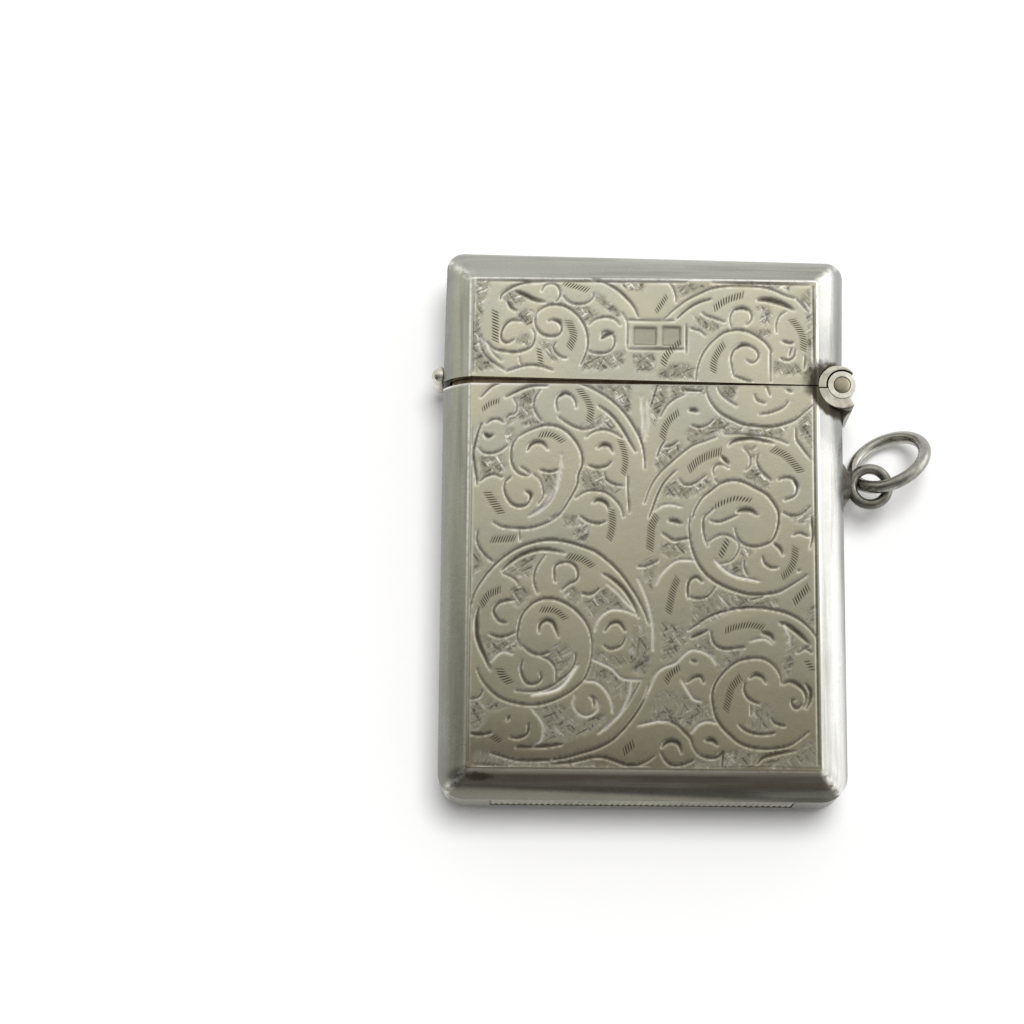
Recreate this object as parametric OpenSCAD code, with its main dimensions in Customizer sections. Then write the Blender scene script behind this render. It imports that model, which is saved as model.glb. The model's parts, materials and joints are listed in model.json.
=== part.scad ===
// Rectangular pocket match case (vesta case), lying on its back.
// X to the hinge side, Y to the lid, Z out of the engraved front.
// Origin at the centre of the flat back panel. Millimetres.

/* [Case] */
// Width across the narrow sides
case_w = 35; // [30:0.5:40]
// Height from base to lid top, lid closed
case_h = 47.95; // [44:0.05:56]
// Thickness from back panel to front panel
case_t = 9; // [8.5:0.1:10.5]
// Sheet thickness of the struck halves
wall = 0.6; // [0.5:0.05:0.7]
// Corner radius in plan
corner_r = 1.5; // [0.8:0.1:2.2]
// Gap left for solder between pieces that are joined for good
solder = 0.02; // [0.01:0.01:0.03]

/* [Bevel] */
// Plan width of the bevel round each panel
bevel_w = 2.45; // [2:0.05:2.8]
// Slope of the bevel where it leaves the panel, degrees
bevel_start = 20; // [12:1:26]
// Slope of the bevel where it meets the narrow side, degrees
bevel_end = 65; // [58:1:72]

/* [Lid] */
// Height of the lid from its rim to its top
lid_h = 11.85; // [9:0.05:14]
// Gap between the lid's rim and the body when shut
lid_gap = 0.06; // [0.04:0.01:0.1]
// Angle by which the lid stands open at rest, degrees
lid_ajar = 1; // [0.4:0.1:1.5]

/* [Mouth bezel] */
// Length of the bezel inside the body
bezel_depth = 3.2; // [2:0.1:5]
// Height of the bezel above the mouth
bezel_rise = 1.5; // [1:0.1:2]
// Sheet thickness of the bezel
bezel_t = 0.4; // [0.3:0.05:0.5]
// Running clearance between the bezel and the lid
bezel_clear = 0.2; // [0.15:0.01:0.3]
// Gap between the bezel's open side and the hinge seats
bezel_open = 0.3; // [0.2:0.05:0.6]

/* [Hinge] */
// Distance of the hinge axis inside the narrow side
hinge_inset = 0.15; // [0:0.05:0.3]
// Height of the hinge axis above the mouth
hinge_rise = 0.3; // [0.2:0.02:0.4]
// Radius of the hinge pin
pin_r = 0.72; // [0.6:0.02:0.8]
// Radial clearance of the pin in the turning knuckle
pin_clear = 0.04; // [0.02:0.01:0.08]
// Length of the pin's domed end beyond the knuckles
pin_proud = 0.12; // [0.05:0.01:0.2]
// Outer radius of the knuckles
knuckle_r = 1.25; // [1.15:0.05:1.35]
// Share of the barrel's length taken by the lid's knuckle
knuckle_share = 0.37; // [0.35:0.01:0.42]
// End clearance between knuckles
knuckle_gap = 0.06; // [0.04:0.01:0.1]
// Distance of the barrel's ends inside the two panels
barrel_inset = 0.6; // [0.4:0.05:0.8]
// Outer radius of the two hinge seats
seat_r = 2.1; // [1.95:0.05:2.3]
// Shift of the lid seat's outer curve into the case, which tapers the seat outwards
lid_seat_shift = 0.36; // [0.2:0.02:0.4]
// Clearance between a seat and a knuckle that turns past it
seat_clear = 0.13; // [0.1:0.01:0.18]
// Angle at which the lid's seat ends on the outside, degrees
lid_seat_end = 48; // [40:1:60]
// Angle at which the body's seat ends on the outside, degrees
body_seat_end = 300; // [285:1:305]
// Reach of the body seat's neck down the narrow side
neck_drop = 1.7; // [1:0.1:2.5]
// Depth of the cam flats on the lid's knuckle
cam_depth = 0.2; // [0.12:0.02:0.26]

/* [Spring] */
// Length of the leaf spring
spring_l = 12; // [9:0.5:15]
// Width of the leaf spring
spring_w = 2.3; // [1.8:0.1:2.5]
// Thickness of the leaf spring
spring_t = 0.35; // [0.25:0.05:0.4]
// Gap between the spring's tip and the shut cam flat
spring_gap = 0.04; // [0.02:0.01:0.06]
// Length of the spring's anchor block
anchor_l = 3; // [2.4:0.1:4]
// Radius of the rivet's shank
rivet_r = 0.45; // [0.35:0.05:0.55]
// Radius of the rivet's head
rivet_head_r = 0.85; // [0.75:0.05:1]
// Height of the rivet's head
rivet_head_h = 0.4; // [0.3:0.05:0.5]

/* [Thumb piece] */
// Length of the thumb piece along the lid's rim
thumb_l = 4.2; // [3:0.1:4.4]
// Distance the thumb piece stands out
thumb_reach = 1.05; // [0.7:0.05:1.4]
// Height of the thumb piece along the lid's side
thumb_h = 1.5; // [1.1:0.1:2]

/* [Striker] */
// Length of the striker let into the base
striker_l = 26; // [20:0.5:28]
// Width of the striker
striker_w = 3; // [2.4:0.1:3.4]
// Depth of the recess for the striker
striker_sink = 0.36; // [0.3:0.02:0.4]
// Depth of the striker's ridges
ridge_h = 0.1; // [0.08:0.02:0.2]
// Pitch of the striker's ridges
ridge_pitch = 0.5; // [0.5:0.05:1]
// Distance of the ridge tips below the base
ridge_below = 0.04; // [0.02:0.01:0.06]

/* [Eye and ring] */
// Distance of the eye's centre from the narrow side
eye_out = 2.59; // [2.4:0.05:2.8]
// Distance of the eye's centre below the mouth
eye_drop = 7.9; // [7:0.1:11]
// Radius of the eye's centre line
eye_r = 1.6; // [1.58:0.01:1.75]
// Radius of the eye's wire
eye_wire_r = 0.46; // [0.36:0.02:0.48]
// Radius of the eye's foot on the narrow side
foot_r = 2.2; // [1.6:0.05:2.25]
// Radius of the eye's foot at its outer end
foot_tip_r = 1.2; // [1:0.05:1.4]
// Height of the eye's foot
foot_h = 0.8; // [0.7:0.05:0.9]
// Radius of the jump ring's centre line
ring_r = 3.35; // [3.2:0.05:3.6]
// Radius of the jump ring's wire
ring_wire_r = 0.56; // [0.45:0.01:0.58]
// Bearing of the ring's axis, degrees
ring_bearing = 124.3; // [115:1:130]
// Tilt of the ring's axis from upright, degrees
ring_tilt = 47.2; // [46:0.2:52]
// Bearing of the ring's centre round the ring, degrees
ring_turn = -64; // [-75:1:-55]
// Offset of the ring's plane from the eye's centre
ring_lift = 0.07; // [0:0.01:0.12]
// Distance of the ring's wire past the eye's centre
ring_past = 0.1; // [0:0.01:0.15]

/* [Hidden] */
$fn = 180;
over = 1;
mid_z = case_t / 2;
mouth_y = case_h / 2 - lid_h;
bevel_r = bevel_w / (sin(bevel_end) - sin(bevel_start));
bevel_h = bevel_r * (cos(bevel_start) - cos(bevel_end));
corner_min = 0.2;
hinge_x = case_w / 2 - hinge_inset;
hinge_y = mouth_y + hinge_rise;
barrel_l = case_t - 2 * barrel_inset;
lid_knuckle_l = barrel_l * knuckle_share;
body_knuckle_l = (barrel_l - lid_knuckle_l) / 2 - knuckle_gap;
cam_bearing = 180;
lid_seat_start = 210;
body_seat_start = 150;
far = case_w;
cam_r = knuckle_r - cam_depth;
spring_x1 = hinge_x - cam_r - spring_gap;
spring_x0 = spring_x1 - spring_t;
spring_y1 = hinge_y - hinge_rise;
spring_y0 = spring_y1 - spring_l;
rivet_y = spring_y0 + anchor_l / 2;
inner_x = case_w / 2 - wall - solder;
window_side = 0.25;
thumb_r = (thumb_reach * thumb_reach + thumb_h * thumb_h / 4) / (2 * thumb_reach);
thumb_y = mouth_y + lid_gap + thumb_h / 2;
striker_n = floor(striker_l / ridge_pitch);
eye_x = case_w / 2 + eye_out;
eye_y = mouth_y - eye_drop;
striker_base = striker_sink - solder;

// Cuts one long edge of a section to the bevel's arc.
module bevel_cut(span, inset) {
  side = 3 * bevel_r;
  translate([span / 2 - bevel_w - bevel_r * sin(bevel_start), case_t - bevel_r * cos(bevel_start)])
  difference() {
    square(side);
    circle(bevel_r - inset);
  }
}

// Section across the case, bevelled front and back, open at its two sides.
module section(span, inset, grow) {
  difference() {
    translate([-span / 2 - over, inset - grow])
    square([span + 2 * over, case_t - 2 * inset + 2 * grow]);
    for (side = [0, 1]) {
      mirror([side, 0])
      bevel_cut(span, inset);
      translate([0, case_t])
      mirror([0, 1])
      mirror([side, 0])
      bevel_cut(span, inset);
    }
  }
}

// Outline of the case seen from the front.
module outline(inset) {
  r = max(corner_r - inset, corner_min);
  w = case_w - 2 * inset;
  h = case_h - 2 * inset;
  square([w - 2 * r, h], center = true);
  square([w, h - 2 * r], center = true);
  for (sx = [-1, 1]) {
    for (sy = [-1, 1]) {
      translate([sx * (w / 2 - r), sy * (h / 2 - r)])
      circle(r);
    }
  }
}

// The whole closed case as one solid, set in by an even distance.
module case_solid(inset) {
  intersection() {
    rotate([90, 0, 0])
    linear_extrude(height = case_h + 2 * over, center = true)
    section(case_w, inset, 0);
    rotate([90, 0, 90])
    linear_extrude(height = case_w + 2 * over, center = true)
    section(case_h, inset, over);
    translate([0, 0, -over])
    linear_extrude(height = case_t + 2 * over)
    outline(inset);
  }
}

// Box across the full width between two heights and two depths.
module slab(y0, y1, z0, z1) {
  translate([-far, y0, z0])
  cube([2 * far, y1 - y0, z1 - z0]);
}

// Outer curve of a hinge seat, in plan.
module seat_curve(shift, grow) {
  translate([hinge_x - shift, hinge_y])
  circle(seat_r - shift + grow);
}

// Hollow struck half between two heights and two depths, cut out for a hinge seat.
module struck_half(y0, y1, z0, z1, seat_shift) {
  difference() {
    intersection() {
      case_solid(0);
      slab(y0, y1, z0, z1);
    }
    case_solid(wall);
    translate([0, 0, -over])
    linear_extrude(height = case_t + 2 * over)
    seat_curve(seat_shift, solder);
  }
}

// Recess in the base for the striker.
module striker_recess() {
  translate([-striker_l / 2 - solder, -case_h / 2 - over, mid_z - striker_w / 2 - solder])
  cube([striker_l + 2 * solder, striker_sink + over, striker_w + 2 * solder]);
}

// Turns lid pieces from shut to the angle at rest.
module lid_pose() {
  translate([hinge_x, hinge_y, 0])
  rotate([0, 0, -lid_ajar])
  translate([-hinge_x, -hinge_y, 0])
  children();
}

// Wedge between two angles, both sides of a half turn.
module wedge(a0, a1) {
  am = (a0 + a1) / 2;
  polygon([
    [0, 0],
    far * [cos(a0), sin(a0)],
    far * [cos(am), sin(am)],
    far * [cos(a1), sin(a1)]
  ]);
}

// Band about the hinge axis between two angles, inside a seat's outer curve.
module band(r_in, a0, a1, shift) {
  intersection() {
    seat_curve(shift, 0);
    translate([hinge_x, hinge_y])
    difference() {
      wedge(a0, a1);
      circle(r_in);
    }
  }
}

// Everything between two heights, in plan.
module strip(y0, y1) {
  translate([-far, y0])
  square([2 * far, y1 - y0]);
}

module tube(r_out, r_in, z0, length) {
  translate([hinge_x, hinge_y, z0])
  difference() {
    cylinder(r = r_out, h = length);
    translate([0, 0, -over])
    cylinder(r = r_in, h = length + 2 * over);
  }
}

module body_front_shell() {
  color([0.74, 0.72, 0.66])
  difference() {
    struck_half(-case_h, mouth_y, mid_z, case_t + over, 0);
    striker_recess();
  }
}

module body_back_shell() {
  color([0.72, 0.70, 0.64])
  difference() {
    struck_half(-case_h, mouth_y, -over, mid_z, 0);
    striker_recess();
  }
}

// Collar in the mouth, open at the hinge side.
module mouth_bezel() {
  bore = wall + bezel_clear + bezel_t;
  color([0.62, 0.56, 0.45])
  difference() {
    union() {
      intersection() {
        case_solid(wall + solder);
        slab(mouth_y - bezel_depth, mouth_y, -over, case_t + over);
      }
      intersection() {
        case_solid(wall + bezel_clear);
        slab(mouth_y - bezel_depth / 2, mouth_y + bezel_rise, -over, case_t + over);
      }
    }
    case_solid(bore);
    translate([hinge_x - seat_r - bezel_open, -case_h, -over])
    cube([far, 2 * case_h, case_t + 2 * over]);
  }
}

// Ridged plate let into the base.
module striker_plate() {
  tip = -case_h / 2 + ridge_below;
  root = -case_h / 2 + striker_base;
  step = striker_l / striker_n;
  valley = tip + ridge_h;
  teeth = [for (i = [0 : striker_n - 1]) each [
    [-striker_l / 2 + i * step, valley],
    [-striker_l / 2 + (i + 1 / 2) * step, tip]
  ]];
  color([0.55, 0.54, 0.52])
  translate([0, 0, mid_z - striker_w / 2])
  linear_extrude(height = striker_w)
  polygon(concat(
    [[-striker_l / 2, root]],
    teeth,
    [[striker_l / 2, valley], [striker_l / 2, root]]
  ));
}

// Neck that carries the body's seat down on to the narrow side.
module neck() {
  reach = hinge_x + seat_r * cos(body_seat_end) - case_w / 2;
  top = hinge_y + seat_r * sin(body_seat_end);
  hollow_r = (reach * reach + neck_drop * neck_drop) / (2 * reach);
  difference() {
    translate([case_w / 2 + solder, top - neck_drop, bevel_h])
    cube([reach - solder, neck_drop + seat_r / 4, case_t - 2 * bevel_h]);
    translate([case_w / 2 + hollow_r, top - neck_drop, 0])
    cylinder(r = hollow_r, h = case_t);
    translate([hinge_x, hinge_y, 0])
    cylinder(r = knuckle_r + seat_clear, h = case_t);
  }
}

module body_hinge_seat() {
  color([0.66, 0.63, 0.57])
  difference() {
    union() {
      translate([0, 0, barrel_inset])
      linear_extrude(height = barrel_l)
      intersection() {
        band(knuckle_r + solder, body_seat_start, body_seat_end, 0);
        strip(-case_h, mouth_y);
      }
      neck();
    }
    translate([hinge_x, hinge_y, mid_z])
    cylinder(r = knuckle_r + seat_clear, h = lid_knuckle_l + 2 * knuckle_gap, center = true);
    translate([hinge_x - far, hinge_y - case_t, mid_z - spring_w / 2 - window_side])
    cube([far - cam_r + 2 * window_side / 3, case_t + seat_r, spring_w + 2 * window_side]);
  }
}

module hinge_knuckle_front() {
  color([0.80, 0.76, 0.68])
  tube(knuckle_r, pin_r + solder, case_t - barrel_inset - body_knuckle_l, body_knuckle_l);
}

module hinge_knuckle_back() {
  color([0.80, 0.76, 0.68])
  tube(knuckle_r, pin_r + solder, barrel_inset, body_knuckle_l);
}

module hinge_pin() {
  dome_r = (pin_r * pin_r + pin_proud * pin_proud) / (2 * pin_proud);
  color([0.70, 0.66, 0.58])
  translate([hinge_x, hinge_y, mid_z])
  union() {
    cylinder(r = pin_r, h = barrel_l, center = true);
    for (end = [0, 1]) {
      mirror([0, 0, end])
      intersection() {
        translate([0, 0, barrel_l / 2 + pin_proud - dome_r])
        sphere(dome_r);
        translate([0, 0, barrel_l / 2])
        cylinder(r = 2 * pin_r, h = over);
      }
    }
  }
}

// Flat leaf that presses on the lid knuckle's cam flats.
module lid_spring() {
  color([0.50, 0.52, 0.55])
  difference() {
    translate([spring_x0, spring_y0, mid_z - spring_w / 2])
    cube([spring_t, spring_l, spring_w]);
    translate([spring_x0 - over, rivet_y, mid_z])
    rotate([0, 90, 0])
    cylinder(r = rivet_r + solder, h = spring_t + 2 * over);
  }
}

module spring_anchor() {
  color([0.66, 0.62, 0.54])
  difference() {
    translate([spring_x1, spring_y0, mid_z - spring_w / 2])
    cube([inner_x - spring_x1, anchor_l, spring_w]);
    translate([spring_x1 - over, rivet_y, mid_z])
    rotate([0, 90, 0])
    cylinder(r = rivet_r + solder, h = far);
  }
}

module spring_rivet() {
  head_ball = (rivet_head_r * rivet_head_r + rivet_head_h * rivet_head_h) / (2 * rivet_head_h);
  color([0.60, 0.57, 0.50])
  translate([spring_x0, rivet_y, mid_z])
  rotate([0, 90, 0])
  union() {
    cylinder(r = rivet_r, h = inner_x - spring_x0);
    intersection() {
      translate([0, 0, head_ball - rivet_head_h])
      sphere(head_ball);
      translate([0, 0, -rivet_head_h - over])
      cylinder(r = 2 * rivet_head_r, h = rivet_head_h + over);
    }
  }
}

module eye_loop(extra) {
  translate([eye_x, eye_y, mid_z])
  rotate_extrude()
  translate([eye_r, 0])
  circle(eye_wire_r + extra);
}

module suspension_eye() {
  color([0.52, 0.51, 0.48])
  eye_loop(0);
}

// Solder foot that holds the eye on the narrow side.
module eye_foot() {
  color([0.56, 0.55, 0.51])
  difference() {
    translate([case_w / 2 + solder, eye_y, mid_z])
    rotate([0, 90, 0])
    cylinder(r1 = foot_r, r2 = foot_tip_r, h = foot_h);
    eye_loop(solder);
  }
}

module lid_front_shell() {
  color([0.76, 0.74, 0.68])
  lid_pose()
  struck_half(mouth_y + lid_gap, case_h, mid_z, case_t + over, lid_seat_shift);
}

module lid_back_shell() {
  color([0.74, 0.72, 0.66])
  lid_pose()
  struck_half(mouth_y + lid_gap, case_h, -over, mid_z, lid_seat_shift);
}

module lid_hinge_seat() {
  mid_z0 = mid_z - lid_knuckle_l / 2;
  color([0.70, 0.67, 0.60])
  lid_pose()
  union() {
    translate([0, 0, barrel_inset])
    linear_extrude(height = barrel_l)
    intersection() {
      band(knuckle_r + seat_clear, lid_seat_end, lid_seat_start, lid_seat_shift);
      strip(mouth_y + lid_gap, case_h);
    }
    translate([0, 0, mid_z0])
    linear_extrude(height = lid_knuckle_l)
    band(knuckle_r + solder, lid_seat_end, cam_bearing - 2 * acos(cam_r / knuckle_r), lid_seat_shift);
  }
}

// Turning knuckle with two cam flats, shut and open.
module lid_knuckle() {
  color([0.78, 0.74, 0.66])
  lid_pose()
  difference() {
    tube(knuckle_r, pin_r + pin_clear, mid_z - lid_knuckle_l / 2, lid_knuckle_l);
    translate([hinge_x - cam_r - far, hinge_y - case_t, 0])
    cube([far, 2 * case_t, case_t]);
    translate([hinge_x - case_t, hinge_y - cam_r - far, 0])
    cube([2 * case_t, far, case_t]);
  }
}

// Nail catch on the lid's free side, a bar with round ends.
module thumb_piece() {
  side_x = -case_w / 2 - solder;
  bar_l = thumb_l - 2 * thumb_r;
  color([0.72, 0.69, 0.62])
  lid_pose()
  intersection() {
    translate([side_x - thumb_reach + thumb_r, thumb_y, mid_z])
    union() {
      cylinder(r = thumb_r, h = bar_l, center = true);
      for (end = [-1, 1]) {
        translate([0, 0, end * bar_l / 2])
        sphere(thumb_r);
      }
    }
    translate([side_x - far, thumb_y - case_t, 0])
    cube([far, 2 * case_t, case_t]);
  }
}

// Loose ring, threaded through the eye.
module jump_ring() {
  color([0.58, 0.56, 0.51])
  translate([eye_x, eye_y, mid_z])
  rotate([0, 0, ring_bearing])
  rotate([0, ring_tilt, 0])
  rotate([0, 0, ring_turn])
  translate([ring_r - ring_past, 0, ring_lift])
  rotate_extrude()
  translate([ring_r, 0])
  circle(ring_wire_r);
}

body_front_shell();
body_back_shell();
mouth_bezel();
striker_plate();
body_hinge_seat();
hinge_knuckle_front();
hinge_knuckle_back();
hinge_pin();
lid_spring();
spring_anchor();
spring_rivet();
suspension_eye();
eye_foot();
lid_front_shell();
lid_back_shell();
lid_hinge_seat();
lid_knuckle();
thumb_piece();
jump_ring();
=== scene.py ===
import json
import math

import bmesh
import bpy
import numpy as np
from mathutils import Matrix, Vector

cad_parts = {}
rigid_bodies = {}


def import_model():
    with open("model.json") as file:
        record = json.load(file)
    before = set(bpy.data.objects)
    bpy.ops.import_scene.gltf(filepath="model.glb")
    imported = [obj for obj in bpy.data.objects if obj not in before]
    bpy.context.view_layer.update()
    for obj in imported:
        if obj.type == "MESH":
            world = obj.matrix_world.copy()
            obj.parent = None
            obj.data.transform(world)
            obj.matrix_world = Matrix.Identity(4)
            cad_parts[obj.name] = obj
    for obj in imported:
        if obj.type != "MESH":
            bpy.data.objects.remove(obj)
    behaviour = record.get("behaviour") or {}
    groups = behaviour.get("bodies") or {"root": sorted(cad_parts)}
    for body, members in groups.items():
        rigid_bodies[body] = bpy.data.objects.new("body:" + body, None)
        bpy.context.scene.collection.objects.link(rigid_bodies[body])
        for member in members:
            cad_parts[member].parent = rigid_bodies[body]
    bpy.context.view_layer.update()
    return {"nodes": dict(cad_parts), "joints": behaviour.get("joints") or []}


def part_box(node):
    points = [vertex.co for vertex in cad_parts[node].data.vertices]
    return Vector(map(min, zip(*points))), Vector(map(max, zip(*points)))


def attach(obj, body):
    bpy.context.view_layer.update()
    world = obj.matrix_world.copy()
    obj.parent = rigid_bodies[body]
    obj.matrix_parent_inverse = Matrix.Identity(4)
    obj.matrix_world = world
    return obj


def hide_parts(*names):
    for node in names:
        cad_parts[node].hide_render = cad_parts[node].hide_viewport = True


for start_object in list(bpy.data.objects):
    bpy.data.objects.remove(start_object)

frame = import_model()

# Sizes in millimetres, taken from the frame where it has them
MM = 0.001
JOINTS = {joint["name"]: joint for joint in frame["joints"]}
HINGE = Vector(JOINTS["lid_hinge"]["pos_m"]) / MM
LID_AJAR = math.radians(-JOINTS["lid_hinge"]["range_deg"][0])
SHELL_LOW, SHELL_HIGH = (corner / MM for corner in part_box("body_front_shell"))
CASE_HALF = (SHELL_HIGH.x, -SHELL_LOW.y)
CASE_TOP = SHELL_HIGH.z
MID_Z = SHELL_LOW.z
MOUTH_Y = SHELL_HIGH.y

# Form of the shells: the slopes round the panel, the worn corners, and a skin left inside the CAD shells
BEVEL_SLOPES = (math.radians(20), math.radians(65))
BEVEL_WIDTH = 2.45
PANEL_HALF = (CASE_HALF[0] - BEVEL_WIDTH, CASE_HALF[1] - BEVEL_WIDTH)
CORNER_OUTER = 1.5
CORNER_PANEL = 0.3
FOOT_CORNER_WORN = 0.8
CORNER_STEPS = 10
BEVEL_STEPS = 12
HALVES_OVERLAP = 0.5
SKIN = 0.012
WELD = 0.0005
FLAT = 0.002
CREASE = math.radians(14)

# Grid of the engraved panel
GRID_PITCH = 0.105
GRID_MARGIN = 0.08
MOUTH_MARGIN = 0.03
SAMPLE_STEP = 0.04
EDGE_FADE = 0.06
MASKS = ("patina", "ground", "shine_highlight", "lip", "row")
PHASE = "tick"

# Engraving on the face of the panel. Its origin is a little above the middle of the case.
# Each stroke is a kind, its sizes in millimetres, then, in twentieths of a millimetre, its first point
# and the steps from each point of its curve to the next.
# cut width: dark groove. bright width: groove cut at a slant, left shiny and painted with a highlight. comma
# width: short swelling gouge.
# ticks count length: row of short cuts across a path. ground: hatched background between leaves.
DESIGN_ORIGIN = (0, 0.125)
DESIGN_UNIT = 0.05
LID_DESIGN = """
cut .18 -292,426 192,0 176,0
cut .16 120,426 80,-1 90,-2
cut .18 -298,422 0,-82 0,-80
cut .26 297.2,420 0,-80 0,-80
cut .2 -288,325 6,-25 14,-18 26,-18.6
cut .15 -271,308 9,-14 14,-14
cut .26 -251,392 1,7 8,8 14,9 16,6 14,2 26,1
comma .45 -227,407 17,-6 18,-9 20,-5
comma .3 -240,390 8,-13 11,-7
cut .25 -213,353 -17,1 -11,-7 -7,-12 -1,-13 5,-8 9,0 8,5
cut .22 -274,314 14,-13 16,-3 17,-2 17,3 14,8 5,12 1,11 -5,9
ticks 11 .68 -260,370 1,-54
cut .24 -188,367 4,5 10,7 14,4 17,-1 16,-8 14,-13 10,-17 5,-19 0,-17 -5,-18 -7,-15
cut .22 -188,368 -2,-15 3,-13 8,-10 13,-4.4 13,1 8,7.4 1,10 -5,8 -9,3.6 -9,-2.6
comma .4 -144,344 -5,8.4 -11,2.6
ticks 15 .75 -132,354 7,-16 2,-14 -7,-20
cut .2 -154,314 -4,-8 5,-11 9,-7 9,-2
cut .2 -240,261 22,8 19,4 20,-2 20,-7
cut .12 -217,287 2,-9 3,-6
ticks 8 .52 -183,302 4,-26
ground -186,312 22,6 5,-12 7,-14 6,-12 -20,2 -6,16
cut .18 -96,347 11,10 17,4 16,-3 11,-11
cut .2 -74,326 2,8 12,0 8,-8 1,-12 -6,-12 -13,-6 -16,0 -12,4
comma .5 -75,322 11,8 12,2
cut .14 -38,370 7,-12 3,-14 0,-16 -1,-16
cut .2 -179,408 5,10 11,4 10,-3 6,-11 -1,-11 -6,-8
cut .18 -141,399 9,-10 16,-5 16,3 11,10 1,7
ticks 12 .6 -139,423 41,-13
cut .26 -90,430 22,-6 22,-13 19,-18 11,-15 7,-16
ground -86,407 20,-12 18,-17 13,-16 -11,-2 -20,14 -18,16
ground -130,382 30,0 22,-14 -14,-12 -12,-6 -10,16
ground -60,428 60,-2 6,-16 -32,2
ground -300,428 34,0 -14,-42 -6,-46 14,-50 18,-24 -44,-6
cut .2 43,428 8,-11 5,-14 1,-13
ticks 8 .52 40,400 -18,-28
cut .22 34,358 18,17 22,18 24,13 20,9 26,5 32,1 30,-2 20,-5 22,-10 17,-5
cut .28 58,360 12,12 14,11 16,8 18,5
cut .18 101,372 8,-6 17,-6 16,-6
cut .2 154,344 -3,14 3,13 8,8 14,1 10,-6 3,-12 -5,-9 -5,-3
comma .4 160,377 12,3 12,-5
ticks 12 .68 124,379 14,11 14,7 22,7
comma .6 198,395 18,1 20,-5 16,-7 13,-8
cut .15 212,372 4,-8 -4,-10
ground 184,344 20,-4 20,0 -4,-12 -16,-2
cut .22 91,246 2,21 6.6,22 9.4,17 14,16 17,13 19,5 20,-2 17,-8 16,-12 10,-15 -1,-9 0,-48
cut .22 157,256 -3,16 -2,17 5,14 11,8 14,1 12,-6 6,-10 -3,-10 -9,-5 -9,5
comma .4 158,304 14,9 16,-2
cut .2 157,257 11,-4 20,-7
ticks 15 .68 140,314 -10,-14 -7,-16 -2,-20
cut .16 250,375 -12,-8 -6,-14 0,-17
cut .25 242,321 9,-3 10,-1
cut .2 265,306 -4,-14 -10,-6 -12,3
cut .2 258,308 -4,-14
ticks 15 .68 259,360 11,-14 8,-18 1,-24
cut .2 282,294 -2,-24
cut .18 268,397 11,-11 10,-12
ticks 11 .68 64,318 -16,-14 -10,-14 -4,-14
cut .18 82,342 16,-4 11,-9
ground 56,280 34,-6 -2,-24 -64,0 2,14
ground -248,400 16,8 28,-12 -8,-10 -16,-8 -14,8
ground -224,366 20,12 12,-10 0,-20 -16,-4
ground -224,312 20,-6 8,18 -16,8
ground 198,384 20,0 10,-16 -8,-16 -16,-4 0,20
ground 58,424 62,0 -28,-14 -24,-14 -8,8
ground 86,368 52,-18 -12,-16 -18,4 -16,10
ground 226,284 46,-6 6,-18 -52,0
ground -104,292 30,0 26,6 16,2 -6,-28 -30,-6 -44,-2
ground 124,427 144,-3 -12,-12 -36,6 -44,6
ground 270,398 24,18 1,-152 -9,0 1,66 -3,38
ground -22,296 42,0 -2,-32 -12,-4 -18,2
"""

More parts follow.
